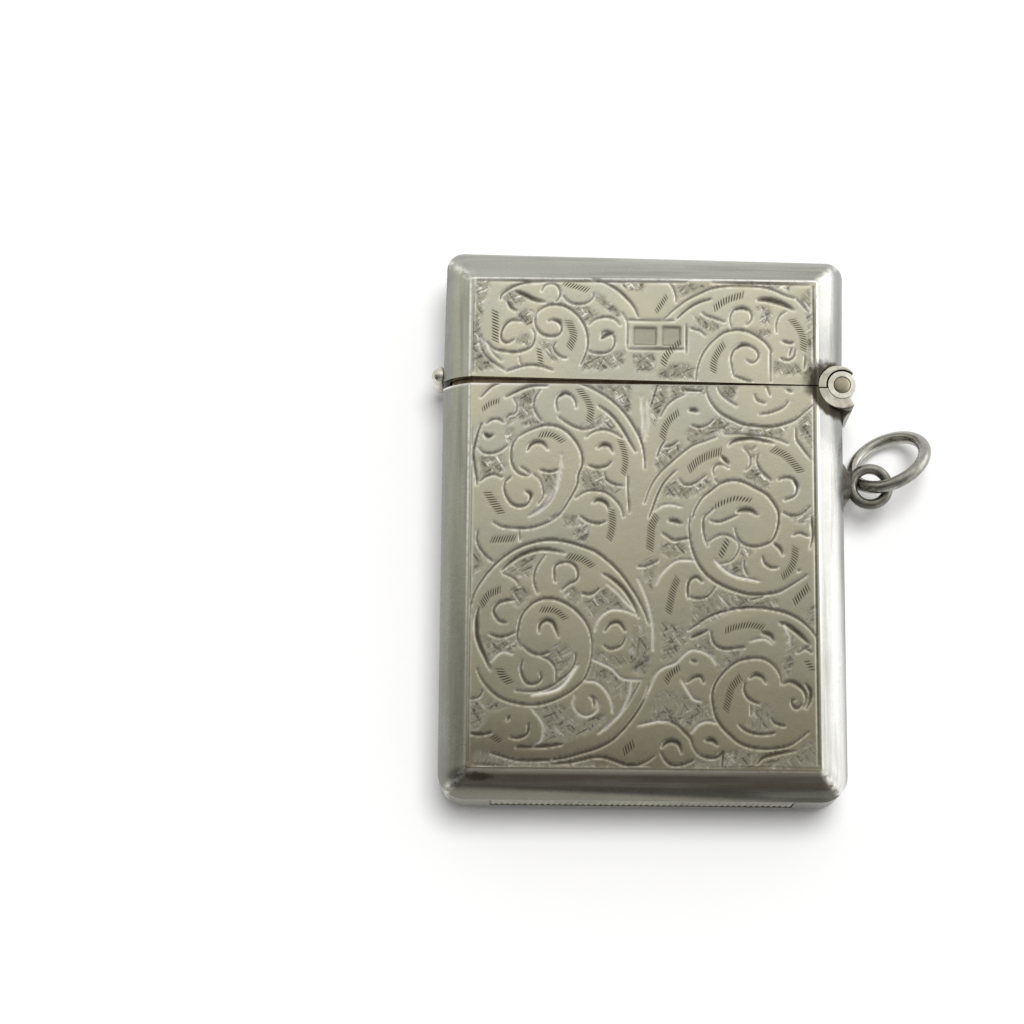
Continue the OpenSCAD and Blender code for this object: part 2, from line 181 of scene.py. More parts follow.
BODY_DESIGN = """
cut .15 -298,160 0,-160 0,-240 0,-184
cut .26 296,240 0,-240 0,-240 0,-184
cut .16 110,-430 90,-1 96,1
cut .16 -288,-428 58,-2
cut .16 -28,-432 38,0
cut .22 -284,214 10,11 11,10 13,5
cut .3 -282,167 -6,-17 -4,-17 -3,-16 2,-23 4,-24 1,-12
cut .28 -240,215 16,9 17,8 16,4 23,0
cut .15 -227,214 7,-15 -4,-13 -11,-4 -5,-7
ground -240,182 18,6 4,-10 -14,-14 -10,2
ground -220,214 16,14 14,4 2,-28 -4,-24 -18,-8 -10,6 2,20
cut .2 -274,167 10,7 11,1 10,-6
comma .45 -277,149 7,-5 9,3
cut .2 -286,124 9,-9 14,-1 14,5 13,10
ticks 10 .52 -280,192 12,10 16,6
cut .22 -218,144 -9,-13 -3,-17 2,-18 7,-13 11,-7 11,-1
cut .24 -218,144 14,9 16,7 17,5 17,-1 16,-7 14,-13 11,-16 6,-17 0,-17 -6,-16 -3,-20 -13,-25 -14,-22 -17,-11
bright .26 -142,114 0,-14 -3,-19 -5,-23 -9,-19 -15,-20 -19,-13
comma .38 -202,119 6,11 11,5 11,-3 8,-11
cut .18 -213,90 9,-5 8,-7
cut .22 -179,85 16,-3 14,3
ticks 15 .6 -180,148 20,0 20,-12
cut .24 -230,72 -9,-8 -2,-14 5,-15 9,-11 13,-4 12,4 6,12 -2,10 -6,0
comma .4 -196,32 0,10 -9,5
cut .16 -191,78 12,-11 5,-14 0,-14 -8,-14
ground -178,80 30,0 -4,-20 -12,-22 -8,6 0,16
cut .22 -284,64 10,8 15,5 14,-6
ticks 15 .75 -270,44 10,-16 14,-20
cut .2 -179,229 -9,-12 -3,-17 5,-15 9,-13
cut .22 -149,190 -3,13 2,11 7,8 12,0 11,-11 3,-14
comma .38 -148,216 11,7 11,-5
cut .2 -148,180 14,-10 18,-9 16,-2 16,4
ticks 16 .68 -112,230 14,-20 6,-18 -3,-20
bright .14 -68,186 -3,-14 -8,-10
cut .24 -118,243 19,-7 20,-10 19,-12 20,-18 16,-21 14,-25 8,-22 4,-25
cut .28 -79,201 16,-11 14,-14 14,-20 11,-20 10,-17
cut .18 -100,144 12,10 17,4 17,-4 18,-11
comma .38 -81,125 10,6 11,-2 7,-12
cut .25 -56,101 -10,-8 -16,-3 -14,4
ticks 16 .6 -41,140 7,-20 2,-22 -4,-18
cut .2 -68,81 4,-12 10,-7 18,-4
ground -112,84 32,2 10,-8 10,-14 22,-8 -10,-12 -24,4 -32,4
cut .2 -28,75 1,-31 2,-33
cut .2 -118,36 14,10 16,4 20,-3 16,-11 13,-17 4,-16
comma .4 -88,28 9,5 13,-5 7,-14
ticks 16 .68 -56,16 2,-16 -1,-18 -5,-18
cut .22 -110,4 14,-9 17,-4 13,4
ground -142,4 26,0 0,-18 -20,0
ground -118,-6 26,-4 -2,-20 -6,-14 -20,8
cut .2 -260,-8 16,-8 18,-2 16,-1 17,2 16,5 17,8 19,13
cut .2 -286,-23 -1,-17 5,-14 11,-14 12,-10
ticks 15 .68 -262,-39 40,3
cut .16 -214,-20 1,-20
cut .26 9,-184 -8,22 -11,22 -14,22 -16,22 -20,20 -22,17 -22,9 -23,7 -22,4 -22,0 -20,-4 -19,-7 -20,-11
  -19,-15 -17,-18 -15,-21 -10,-19 -5,-20 -1,-19
comma .5 -282,-157 -4,-19 0,-20 2,-16 6,-17 6,-13 6,-14 6,-11
comma .45 -245,-93 13,13 16,12 20,9 19,4 23,-2 19,-5
comma .38 -71,-97 14,-7 17,-14 13,-16 11,-20 7,-19
bright .15 -63,-114 17,-15 16,-17 14,-14
cut .16 -241,-98 14,-6 10,-8 3,-8
cut .26 -221,-144 -17,-2 -12,-5 -7,-11 3,-11 8,-9 11,-2
cut .22 -263,-204 14,-5 14,2 15,7
ticks 11 .68 -278,-154 12,18 20,10
ground -228,-124 16,4 20,-10 -6,-14 -18,-14 -10,10
ground -244,-94 28,20 32,10 -8,-24 -6,-18 -18,2
cut .2 -171,-66 -11,-16 -6,-16 0,-17 6,-17
cut .24 -152,-112 -2,14 2,14 11,6 14,0 11,-9 3,-14 -5,-9 -11,-5 -12,-11
cut .22 -106,-132 15,-1 14,10
ticks 12 .68 -130,-66 24,-6 18,-12
ground -142,-132 18,12 16,-10 2,-16 -18,-4
ground -104,-144 20,8 18,18 22,-20 20,-22 -20,6 -22,-8 -18,-18 -10,8
cut .24 -210,-226 -6,17 2,19 4,17 11,16 14,11 17,5 19,-2 20,-9 16,-13 14,-17 8,-19 3,-19
comma .4 -179,-201 1,14 10,8 11,-3 7,-14 4,-13
ticks 11 .6 -176,-160 24,-2 18,-14
bright .18 -84,-196 5,17 11,13 16,7 20,-2 18,-7
cut .3 -67,-196 10,12 14,2 11,-14
cut .2 -68,-222 11,-6 17,6 8,14
cut .22 -284,-264 7,-17 13,-17 18,-15 22,-8 25,-4 22,1 23,7 22,11 16,12 14,14 9,21 4,20 1,19
cut .2 -218,-301 19,-1 20,1 19,7 17,12 14,12 11,17 2,16
bright .45 -190,-308 46,13 31,39
bright .15 -260,-251 10,12 12,5 14,-4
cut .24 -207,-250 -3,-12 3,-14 8,-12 14,-1 10,9 -2,10
cut .18 -177,-241 17,-8 10,-15 0,-20
ticks 10 .75 -246,-264 6,-12 12,-12
cut .2 -207,-223 14,-12 16,-4 17,5
bright .22 -22,-281 -2,-22 -11,-28 -17,-20 -25,-22
cut .14 -7,-284 -11,-20 -14,-24 -17,-20 -19,-19
cut .26 9,-290 -8,-22 -14,-25 -19,-25 -22,-22 -25,-14 -25,-8 -26,-8 -24,-5
cut .2 -260,-408 20,-6 19,-5 22,-2 39,1
cut .24 -157,-426 25,2 25,5 19,5 20,0 16,-5 20,-7 16,-1 14,4 12,7 8,6
cut .25 -293,-376 14,-1 20,3
cut .25 -195,-359 -4,-16 -14,-7 -14,1
comma .25 -229,-345 -3,-8
bright .16 -191,-331 14,-17 7,-16 -4,-20 -14,-12
cut .28 -216,-398 25,1 25,1 27,4
ticks 5 .6 -256,-380 12,-8
ticks 6 .75 -34,-404 16,14
cut .18 -296,-317 14,4 8,12
bright .18 -118,-306 -2,-17 7,-14 14,-7 14,5 7,11 -3,12 -8,6
comma .3 -92,-310 6,-4 2,-14
bright .2 -102,-283 20,-2 16,-13 10,-19 3,-20
bright .2 -88,-246 17,-7 17,-9 11,-12 13,-6 26,-1
bright .18 1,-312 10,20 10,22 13,11 20,8 14,14 14,9 19,-3 14,-9 8,-12
bright .22 64,-280 9,-15 11,-17 14,-5
cut .25 73,-284 11,8 12,2 6,-10
comma .22 80,-246 10,-4
ticks 10 .6 38,-284 6,12 16,14
cut .24 234,-285 -1,12 -7,14 -14,13 -16,5 -17,-1 -17,-4 -16,-10 -14,-14 -11,-17 -5,-19 2,-20 5,-19 11,-17
  14,-14 14,-11 17,-7 22,-3 22,1 20,4 14,8 22,17
cut .24 161,-356 9,-8 14,-6 17,-2 20,2
comma .32 179,-276 11,6 11,-4 7,-11
cut .24 172,-284 -1,-14 8,-14 17,-8
cut .15 182,-322 0,-18
ticks 15 .68 164,-274 -14,-18 -6,-20 -5,-20
ground 184,-322 32,2 4,-16 6,-20 -8,-10 -34,0 -12,12 10,10
cut .22 216,-344 7,-9 16,-5
comma .32 235,-286 13,5 14,-6 11,-11 3,-14 -6,-14
cut .22 257,-312 -6,-2 3,-10 7,-3 7,7
comma .38 275,-284 8,-14 -1,-16 -6,-14
cut .22 262,-231 14,7 11,-7
ticks 5 .52 278,-246 10,-14
bright .2 -10,-359 17,4 19,4 17,-1
cut .2 26,-351 17,-1 14,-6 11,-11 11,-12 5,-14 9,-14
comma .42 30,-396 7,8 11,3 11,-6 5,-15
cut .22 29,-405 8,-14 11,-7 17,1 18,7
bright .18 80,-371 13,15 16,5 14,-3
comma .42 104,-383 12,0 9,-9
cut .25 94,-409 15,-4 14,1 11,9 -1,-14 -1,-13
comma .38 190,-424 11,12 19,6 20,4 17,2
ground 196,-432 8,14 50,12 -2,-26
bright .2 -10,-104 11,-25 9,-28 6,-39 0,-33
ticks 18 .75 22,6 -8,-18 -2,-20 -2,-22
comma .42 42,-2 12,-1 12,-5
cut .22 32,-25 8,-5 12,-7 19,3 9,1
cut .2 -10,-84 17,2 17,9
bright .18 21,-115 8,17 14,16 14,9 16,2 14,-2
ticks 16 .68 58,-104 -8,-20 -4,-20 -4,-20
cut .3 76,-137 -1,17 4,13 11,6 10,-8
cut .2 78,-136 15,-3 16,5 14,16
cut .26 80,4 -2,-16 1.4,-20 3.6,-19 8,-22 13,-20 16,-14 20,-11 22,-8 22,-5 23,1 22,4 19,10 31,20
cut .26 84,3 5,16 12,20 14,12 17,13 19,6 19,-2 20,-10 20,-11 13,-15 9,-18 0,-18 -4,-17 -8,-15 -13,-7 -17,-4
  -17,4 -11,11 -5,17
cut .2 120,20 -6,-6 -10,-10 -2,-16 3,-20 5,-14
bright .28 123,-71 9,-11 14,-11 16,-7 20,-4 15,-3
cut .15 110,-40 10,8 17,6 17,-6 10,-11 -4,-16 -12,-14 -19,-5
ticks 6 .6 144,-36 -12,-28
cut .2 115,-2 14,-2 17,6 16,7
cut .24 204,-64 4,-12 10,-7 12,0
comma .32 223,-41 11,-9 5,-12
cut .2 173,-70 0,-14 6,-14
ticks 15 .68 261,-48 -3,-22 -8,-18 -12,-12
ground 132,-80 36,6 4,-22 -20,2
ground 162,-44 12,-4 22,-4 -16,-12 -12,-4
cut .2 257,-26 11,4 15,-6
comma .32 289,10 1,-16 1,-20 -5,-24
ticks 8 .68 258,-144 10,12 14,16
cut .24 265,-88 2,0
cut .2 182,-140 11,3 12,3
ground 120,-124 40,-8 72,-6 -4,-18 -38,4 -42,-10 -36,-18 -26,-12 -6,14 4,34
cut .26 76,-194 14,10 19,13 23,9 22,6 25,3 25,-1 19,-3 20,-5 19,-9 17,-13 14,-17 4,-11
comma .45 232,-180 14,-4 16,-12 14,-13 8,-9
cut .24 115,-197 3,-15 8,-10 14,-4 17,2 15,1
ticks 15 .6 140,-194 16,6 24,4 24,-4
comma .38 201,-197 14,-4 8,-11
bright .15 182,-212 14,4 13,0 10,-8
comma .38 79,-207 11,5 19,8
cut .2 270,-223 12,3
bright .15 240,-182 8,-18 2,-20
cut .22 -10,158 6,-19 5,-25 1,-25
cut .2 26,243 -6,-15 -8,-28
bright .2 -4,220 3,-40 2,-40
bright .16 8,212 -1,-32 -1,-32
cut .2 29,183 11,20 14,12 16,7
cut .22 23,111 6,17 8,12
ticks 16 .68 60,190 -12,-10 -10,-14 -6,-22
comma .42 78,194 8,1 9,-4
cut .2 82,168 14,-4 13,4 12,10
cut .25 66,231 18,-1 18,0
cut .2 36,128 12,3 10,7
ground 28,124 30,12 14,-4 -14,-18 -26,-22 -14,-8 2,20
ground 78,164 34,2 16,20 16,-10 22,-8 24,-6 66,6 -16,-20 -100,8 -36,-14 -24,-10 -8,16
cut .25 109,236 3,-17 9,-16 13,-14 20,-11 19,-8 23,-3 25,-1 22,5 19,8 17,14 17,15
cut .2 129,236 5,-11 12,-11 16,-11
cut .18 214,239 6,-17
cut .2 193,224 4,-10 14,-6
cut .2 201,188 20,4 19,8 11,11
cut .2 248,233 10,-4
cut .2 1,28 11,30 14,22 20,20 19,17 19,14 23,9 19,7
cut .18 140,152 22,1 22,-2 28,-2 22,-6 16,-7
cut .25 55,86 -9,-8 -12,-14 -11,-22 -8,-23 -6,-16
comma .45 146,131 8,8 16,5 20,1 22,-5 14,-4
ticks 18 .75 78,88 14,14 16,10 26,10
comma .38 134,112 8,-8 6,-6
cut .18 122,78 -2,11 6,8 11,1 10,-6
cut .15 123,72 6,-8
cut .2 62,70 8,-8 12,0 11,6 14,11
cut .15 173,128 11,-14 0,-17 -8,-9
cut .22 198,117 -2,-14 8,-17 17,-16
cut .25 232,72 14,4 14,-4 5,-14 -5,-14 -17,-8
comma .42 258,72 7,-12 -3,-12
ticks 16 .75 224,126 20,-10 16,-16 12,-14
ground 180,88 14,10 22,-26 4,-12 -12,-8 -24,16 -16,10
ground 48,72 20,-12 24,6 20,10 8,-8 -16,-16 -20,-12 -24,-2 -26,2 -2,14
comma .48 160,14 10,4 14,-1 13,-9
ticks 12 .52 124,24 16,8 20,6 24,-3
cut .2 240,14 14,-6 16,3 16,13
cut .22 264,164 1,-20 8,-13 17,-23
bright .15 18,14 14,10 16,2 17,-4
ground -212,174 22,6 10,-9 12,-1 -20,-6 -20,-2
ground -90,237 26,-15 24,-20 14,-18 4,12 -2,42
ground -76,184 16,-6 16,-26 -8,6 -16,4 -24,-2 -24,0 20,10
ground -284,110 20,-2 18,4 8,-20 -8,-16 -12,6 -14,-4 -12,-8
ground -242,162 18,-4 0,-18 -10,-10 -8,8
ground 46,238 60,0 2,-14 -16,-1 -24,0 -20,-11
ground 134,238 30,0 -4,-20 -8,-6 -12,12
ground 172,132 24,0 -4,-22 -8,-2
ground 248,6 22,4 18,14 8,-12 -6,-20 -26,4
ground -296,-52 10,0 18,-20 -16,-24 -12,-16
ground -280,-208 20,-4 28,4 14,0 6,-18 -20,-6 -16,0 -14,-14
ground -164,-238 18,20 24,-8 -2,-26 -22,-28 -6,20
ground -86,-250 28,-14 18,-14 22,-4 -8,-26 -28,-4 -2,14 -16,12 -24,10
ground -186,-332 46,10 20,-10 16,-16 24,8 20,-4 -24,-24 -46,-18 -38,0 2,26
ground -296,-322 22,10 22,-8 20,-8 -32,-12 -16,-28 -16,-2
ground -288,-402 72,-16 58,-6 54,2 72,-8 -260,-2
ground 88,-212 22,8 14,-22 20,-4 24,2 -4,-12 -26,-18 -12,-10 -4,20 -16,18 -20,6
ground 242,-188 16,-18 4,-20 -8,-26 -6,-24 -12,8 -2,16 10,28
ground 28,-300 44,-4 12,-14 28,0 6,-26 -26,-6 -14,-12 -22,10 -44,2 -2,22
ground 86,-418 46,2 -2,-14 -50,0
ground 30,-180 42,-12 6,-20 -14,-20 -26,-20 -8,6 2,34
ground -18,-184 20,-4 8,-42 -2,-38 -22,-6 -14,30
ground 16,238 26,0 -2,-26 -12,-26 -10,-26 -8,30
ground 266,178 28,22 1,-80 -21,30
ground -84,-228 26,-12 24,4 4,-16 -18,-10 -36,16
ground 26,-44 26,4 20,-2 2,-18 -22,-8 -20,4
ground 295,-140 0,-52 -21,22
ground 136,-404 36,6 20,-10 -8,-20 -48,0
ground 260,-398 34,26 0,-54 -36,-2
ground 12,-60 8,-28 -6,-40 -10,20 -8,20
comma .3 -152,52 -12,-22 -16,-15 -18,-12
"""

# Cartouche on the lid's front: a bordered strip with two plain sunk punches, left blank
CARTOUCHE = """
cut .16 -28,356 82,0
cut .2 -28,304 98,0
cut .24 74.4,348 0,-50
cut .16 -28,356 0,-52
punch -17,313 39,29
punch 33,312 31,32
"""

# How each kind of stroke is cut: depth in mm, patina left in it, shine (polish, painted as a highlight), and
# how far its lips are burnished and painted with a highlight
STROKES = {
    "cut": (0.105, 1.0, 0.0, 0.95),
    "bright": (0.075, 0.10, 1.0, 0.6),
    "comma": (0.120, 0.95, 0.0, 0.8),
    "ticks": (0.030, 0.20, 0.0, 0.0),
    "hatch": (0.050, 0.80, 0.0, 0.35),
    "glint": (0.030, 0.00, 0.60, 0.0),
}
SOFT_EDGE = 0.10
LIP = 0.085
LIP_CURVE = 1.5
LIP_AT = 0.24
PATINA_FROM = 0.42

# Width of a stroke: a share of its size, and its swell: the least, how early it swells, how bluntly it ends
LINE_WEIGHT = 0.33
LINE_LEAST = 0.048
LINE_SWELL = (0.45, 1.0, 0.5)
COMMA_SWELL = (0.0, 0.8, 0.7)

# Rows of ticks
TICK_HALF = 0.085
TICK_MARGIN = 0.25
TICK_PITCH = 0.22
TICK_SLANT = 0.5

# Hatched ground
GROUND_DEPTH = 0.02
GROUND_SOFTENING = 3
HATCH_SEED = 7
HATCH_PITCH = 0.46
HATCH_LENGTH = (0.4, 1.5)
HATCH_BREAK = (0.1, 0.7)
HATCH_HALF = (0.04, 0.10)
HATCH_SLIP = 0.10
HATCH_DRIFT = 0.28
HATCH_LEANS = (35, 82, 129)
GLINT_SHARE = 0.25

# Punches
PUNCH_DEPTH = 0.07
PUNCH_PATINA = 0.3
PUNCH_EDGE_PATINA = 0.75
PUNCH_EDGE = SOFT_EDGE * 1.3
PUNCH_EDGE_STEPS = 40

# Wear: how much of itself a point keeps when it is softened, and how the leaves round down to the cuts
SOFT_CORE = 2
WEAR_CORE = 6
PILLOW_DEPTH = 0.045
PILLOW_REACH = 3
PILLOW_PASSES = 4


def read_strokes(text):
    """The strokes in a text, as lists of (kind, sizes, points in mm)."""
    strokes = []
    for word in text.split():
        if word.isalpha():
            strokes.append((word, [], []))
        elif "," in word:
            strokes[-1][2].append([float(part) for part in word.split(",")])
        else:
            strokes[-1][1].append(float(word))
    return [(kind, sizes, np.round(np.cumsum(steps, 0) * DESIGN_UNIT, 2) + DESIGN_ORIGIN)
            for kind, sizes, steps in strokes]


def smooth_path(points):
    """Points a short step apart along a Catmull-Rom curve through the given points."""
    ends = np.vstack([2 * points[0] - points[1], points, 2 * points[-1] - points[-2]])
    path = []
    for before, start, end, after in zip(ends, ends[1:], ends[2:], ends[3:]):
        count = max(2, math.ceil(np.hypot(*(end - start)) / SAMPLE_STEP))
        t = np.linspace(0, 1, count, endpoint=False)[:, None]
        path.append(0.5 * (2 * start + (end - before) * t
                           + (2 * before - 5 * start + 4 * end - after) * t ** 2
                           + (3 * start - before - 3 * end + after) * t ** 3))
    return np.vstack(path + [points[-1:]])


def turned(points, angle):
    """Points turned about the hinge."""
    away = points - np.array(HINGE[:2])
    turn = np.array([[math.cos(angle), math.sin(angle)], [-math.sin(angle), math.cos(angle)]])
    return away @ turn + np.array(HINGE[:2])


def softened(grid, core):
    """A grid blurred a little along both axes."""
    for axis in (0, 1):
        grid = (np.roll(grid, 1, axis) + core * grid + np.roll(grid, -1, axis)) / (core + 2)
    return grid


class EngravedField:
    """Height in mm of an engraved panel, and its masks for the material, on a grid of points."""

    def __init__(self, low, high):
        self.xs, self.ys = (np.linspace(start, end, round((end - start) / GRID_PITCH) + 1)
                            for start, end in zip(low, high))
        shape = (len(self.ys), len(self.xs))
        self.height = np.zeros(shape)
        self.masks = {key: np.zeros(shape) for key in (*MASKS, PHASE)}
        self.random = np.random.default_rng(HATCH_SEED)

    def sink(self, depths):
        """Lowers the face to the given depths."""
        self.height = np.minimum(self.height, -depths)

    def mark(self, key, values):
        """Raises a mask to the given values."""
        self.masks[key] = np.maximum(self.masks[key], values)

    def inside(self, path, half_widths, edge=SOFT_EDGE):
        """1 in the middle of a groove along the path, falling to 0 at its edge."""
        mask = np.zeros_like(self.height)
        for (x, y), half in zip(path, half_widths):
            first, last = np.searchsorted(self.xs, (x - half, x + half))
            low, high = np.searchsorted(self.ys, (y - half, y + half))
            away = np.hypot(self.xs[None, first:last] - x, self.ys[low:high, None] - y)
            window = mask[low:high, first:last]
            np.maximum(window, np.minimum(1, (half - away) / edge), out=window)
        return mask

    def groove(self, kind, path, half_widths, within=1.0):
        """A cut with sloping sides and burnished lips marked for a painted highlight, whose patina lies in
        the bottom of it; a shiny cut gets a painted highlight in place of patina.
        """
        depth, patina, shine_highlight, lip = STROKES[kind]
        reach = LIP if lip else 0.0
        mask = self.inside(path, half_widths + reach, SOFT_EDGE + reach) * within
        self.sink(depth * mask ** LIP_CURVE)
        self.mark("lip", lip * np.clip(1 - np.abs(mask - LIP_AT) / LIP_AT, 0, 1))
        start = PATINA_FROM if lip else 0.0
        bottom = np.clip((mask - start) / (1 - start), 0, 1)
        self.mark("patina", patina * bottom)
        if shine_highlight:
            self.mark("shine_highlight", shine_highlight * bottom)
            self.masks["patina"] *= 1 - bottom

    def stroke(self, kind, width, points):
        """One groove that swells from a thin start to its full width and thins again."""
        path = smooth_path(points)
        along = np.linspace(0, 1, len(path))
        least, early, blunt = COMMA_SWELL if kind == "comma" else LINE_SWELL
        swell = least + (1 - least) * np.sin(math.pi * along ** early) ** blunt
        self.groove(kind, path, width * LINE_WEIGHT * swell + LINE_LEAST)

    def ticks(self, count, length, points):
        """A row of short slanting cuts across a path."""
        path = smooth_path(points)
        run = np.append(0, np.cumsum(np.hypot(*np.diff(path, axis=0).T)))
        count = min(int(count), 1 + int(run[-1] / TICK_PITCH))
        steps = np.linspace(-length / 2, length / 2, math.ceil(length / SAMPLE_STEP))
        lines = []
        for place in np.linspace(0, len(path) - 2, count).astype(int):
            along = path[place + 1] - path[place]
            along = along / np.hypot(*along)
            across = np.array([-along[1], along[0]]) + TICK_SLANT * along
            lines.append(path[place] + steps[:, None] * across)
        lines = np.vstack(lines)
        self.groove("ticks", lines, np.full(len(lines), TICK_HALF))
        self.count_ticks(count, length, path, run)

    def count_ticks(self, count, length, path, run):
        """Marks a row and counts its ticks from 0, for the material to draw them finer than the grid."""
        heading = np.gradient(path, axis=0)
        heading = heading / np.hypot(*heading.T)[:, None]
        reach = length / 2 + TICK_MARGIN
        low, high = path.min(0) - reach, path.max(0) + reach
        columns = slice(*np.searchsorted(self.xs, (low[0], high[0])))
        rows = slice(*np.searchsorted(self.ys, (low[1], high[1])))
        spots = np.stack(np.meshgrid(self.xs[columns], self.ys[rows]), -1)
        nearest = np.hypot(*np.moveaxis(spots[:, :, None] - path, -1, 0)).argmin(-1)
        away = spots - path[nearest]
        ahead = heading[nearest]
        beside = ahead[..., 0] * away[..., 1] - ahead[..., 1] * away[..., 0]
        onward = run[nearest] + (ahead * away).sum(-1)
        phase = (onward - TICK_SLANT * beside) * (count - 1) / run[-1]
        row = np.clip((length / 2 - np.abs(beside)) / SOFT_EDGE, 0, 1)
        # It fades out within half a tick beyond its first and its last
        row = row * np.clip(2 * phase + 1, 0, 1) * np.clip(2 * (count - phase) - 1, 0, 1)
        own = row >= self.masks["row"][rows, columns]
        self.masks[PHASE][rows, columns][own] = phase[own]
        self.masks["row"][rows, columns][own] = row[own]

    def polygon(self, points, softening=1):
        """1 inside a polygon and 0 outside, softened at its edge."""
        xs, ys = np.meshgrid(self.xs, self.ys)
        mask = np.zeros(xs.shape, bool)
        for (ax, ay), (bx, by) in zip(points, np.roll(points, -1, 0)):
            crosses = (ay > ys) != (by > ys)
            rise = by - ay if by != ay else 1.0
            mask ^= crosses & (xs < ax + (bx - ax) * (ys - ay) / rise)
        soft = mask.astype(float)
        for step in range(softening):
            soft = softened(soft, SOFT_CORE)
        return soft

    def hatch(self, points, lean):
        """Background cut back a little and hatched with broken lines, some of them glints marked for a
        painted highlight.
        """
        mask = self.polygon(points, GROUND_SOFTENING)
        self.mark("ground", mask)
        self.sink(GROUND_DEPTH * mask)
        along = np.array([math.cos(lean), math.sin(lean)])
        across = np.array([-along[1], along[0]])
        first, last = (points @ along).min(), (points @ along).max()
        lines = {"hatch": [], "glint": []}
        for place in np.arange((points @ across).min(), (points @ across).max(), HATCH_PITCH):
            start = first
            while start < last:
                length = self.random.uniform(*HATCH_LENGTH)
                steps = np.arange(start, start + length, SAMPLE_STEP)
                drift = self.random.normal(0, HATCH_DRIFT) * (steps - start)
                slip = place + self.random.normal(0, HATCH_SLIP) + drift
                half = np.full(len(steps), self.random.uniform(*HATCH_HALF))
                kind = "glint" if self.random.uniform() < GLINT_SHARE else "hatch"
                lines[kind].append((steps[:, None] * along + slip[:, None] * across, half))
                start += length + self.random.uniform(*HATCH_BREAK)
        for kind, drawn in lines.items():
            if drawn:
                paths, halves = zip(*drawn)
                self.groove(kind, np.vstack(paths), np.concatenate(halves), mask)

    def punch(self, low, high):
        """A plain sunk rectangle with a dark edge."""
        corners = np.array([low, (high[0], low[1]), high, (low[0], high[1])])
        mask = self.polygon(corners)
        self.sink(PUNCH_DEPTH * mask)
        self.mark("patina", PUNCH_PATINA * mask)
        sides = zip(corners, np.roll(corners, -1, 0))
        loop = np.vstack([np.linspace(start, end, PUNCH_EDGE_STEPS) for start, end in sides])
        self.mark("patina", PUNCH_EDGE_PATINA * self.inside(loop, np.full(len(loop), PUNCH_EDGE)))

    def engrave(self, text, angle=0.0):
        """Cuts every stroke of a design, turned about the hinge by an angle."""
        strokes = [(kind, sizes, turned(points, angle)) for kind, sizes, points in read_strokes(text)]
        for number, (kind, sizes, points) in enumerate(strokes):
            if kind == "ground":
                self.hatch(points, math.radians(HATCH_LEANS[number % len(HATCH_LEANS)]))
        for kind, sizes, points in strokes:
            if kind == "ticks":
                self.ticks(*sizes, points)
            elif kind == "punch":
                self.punch(*points)
            elif kind != "ground":
                self.stroke(kind, sizes[0], points)

    def wear(self):
        """Takes the sharpness off every cut."""
        self.height = softened(self.height, WEAR_CORE)
        for key in MASKS:
            self.masks[key] = softened(self.masks[key], WEAR_CORE)

    def pillow(self):
        """Rounds the leaves down softly towards the cuts round them."""
        soft = self.masks["patina"]
        for axis in (0, 1):
            for step in range(PILLOW_PASSES):
                soft = sum(np.roll(soft, shift, axis) for shift in range(-PILLOW_REACH, PILLOW_REACH + 1))
                soft = soft / (2 * PILLOW_REACH + 1)
        self.height -= PILLOW_DEPTH * soft

    def fade_edges(self):
        """Brings the height back to the face at the panel's own edge, where it joins the shell."""
        to_x = np.minimum(self.xs - self.xs[0], self.xs[-1] - self.xs)
        to_y = np.minimum(self.ys - self.ys[0], self.ys[-1] - self.ys)
        self.height *= np.clip(np.minimum(to_x[None, :], to_y[:, None]) / EDGE_FADE, 0, 1)


def add_object(name, data):
    """A new object in the scene."""
    item = bpy.data.objects.new(name, data)
    bpy.context.scene.collection.objects.link(item)
    return item


def new_piece(name, mesh, material, body, slot, *nodes):
    """A new piece that rides on a body, stands for CAD nodes and takes the given material. The slot argument
    is not used.
    """
    piece = add_object(name, mesh)
    mesh.materials.append(material)
    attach(piece, body)
    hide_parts(*nodes)


def as_mesh(bm, name):
    """A mesh made from a bmesh, which is freed."""
    mesh = bpy.data.meshes.new(name)
    bm.to_mesh(mesh)
    bm.free()
    return mesh


def lofted(contours):
    """A closed solid through loops of points, as a bmesh."""
    bm = bmesh.new()
    loops = [[bm.verts.new(point) for point in points] for points in contours]
    for upper, lower in zip(loops, loops[1:]):
        for place in range(len(upper)):
            bm.faces.new((upper[place - 1], lower[place - 1], lower[place], upper[place]))
    bm.faces.new(loops[0])
    bm.faces.new(loops[-1])
    bmesh.ops.recalc_face_normals(bm, faces=bm.faces)
    return bm


def contour(grow, corner, z):
    """Rounded rectangle round the panel at one height, as points in metres."""
    points = []
    for quarter, (sx, sy) in enumerate(((1, 1), (-1, 1), (-1, -1), (1, -1))):
        radius = corner if sy > 0 else corner + FOOT_CORNER_WORN * grow / BEVEL_WIDTH
        centre = [side * (half + grow - SKIN - radius) for side, half in zip((sx, sy), PANEL_HALF)]
        for step in range(CORNER_STEPS + 1):
            turn = math.pi / 2 * (quarter + step / CORNER_STEPS)
            x = centre[0] + radius * math.cos(turn)
            y = centre[1] + radius * math.sin(turn)
            points.append(Vector((x, y, z)) * MM)
    return points


def face_height(outward):
    """Height of the front or back face, a hair inside the CAD shells."""
    return CASE_TOP - SKIN if outward > 0 else SKIN


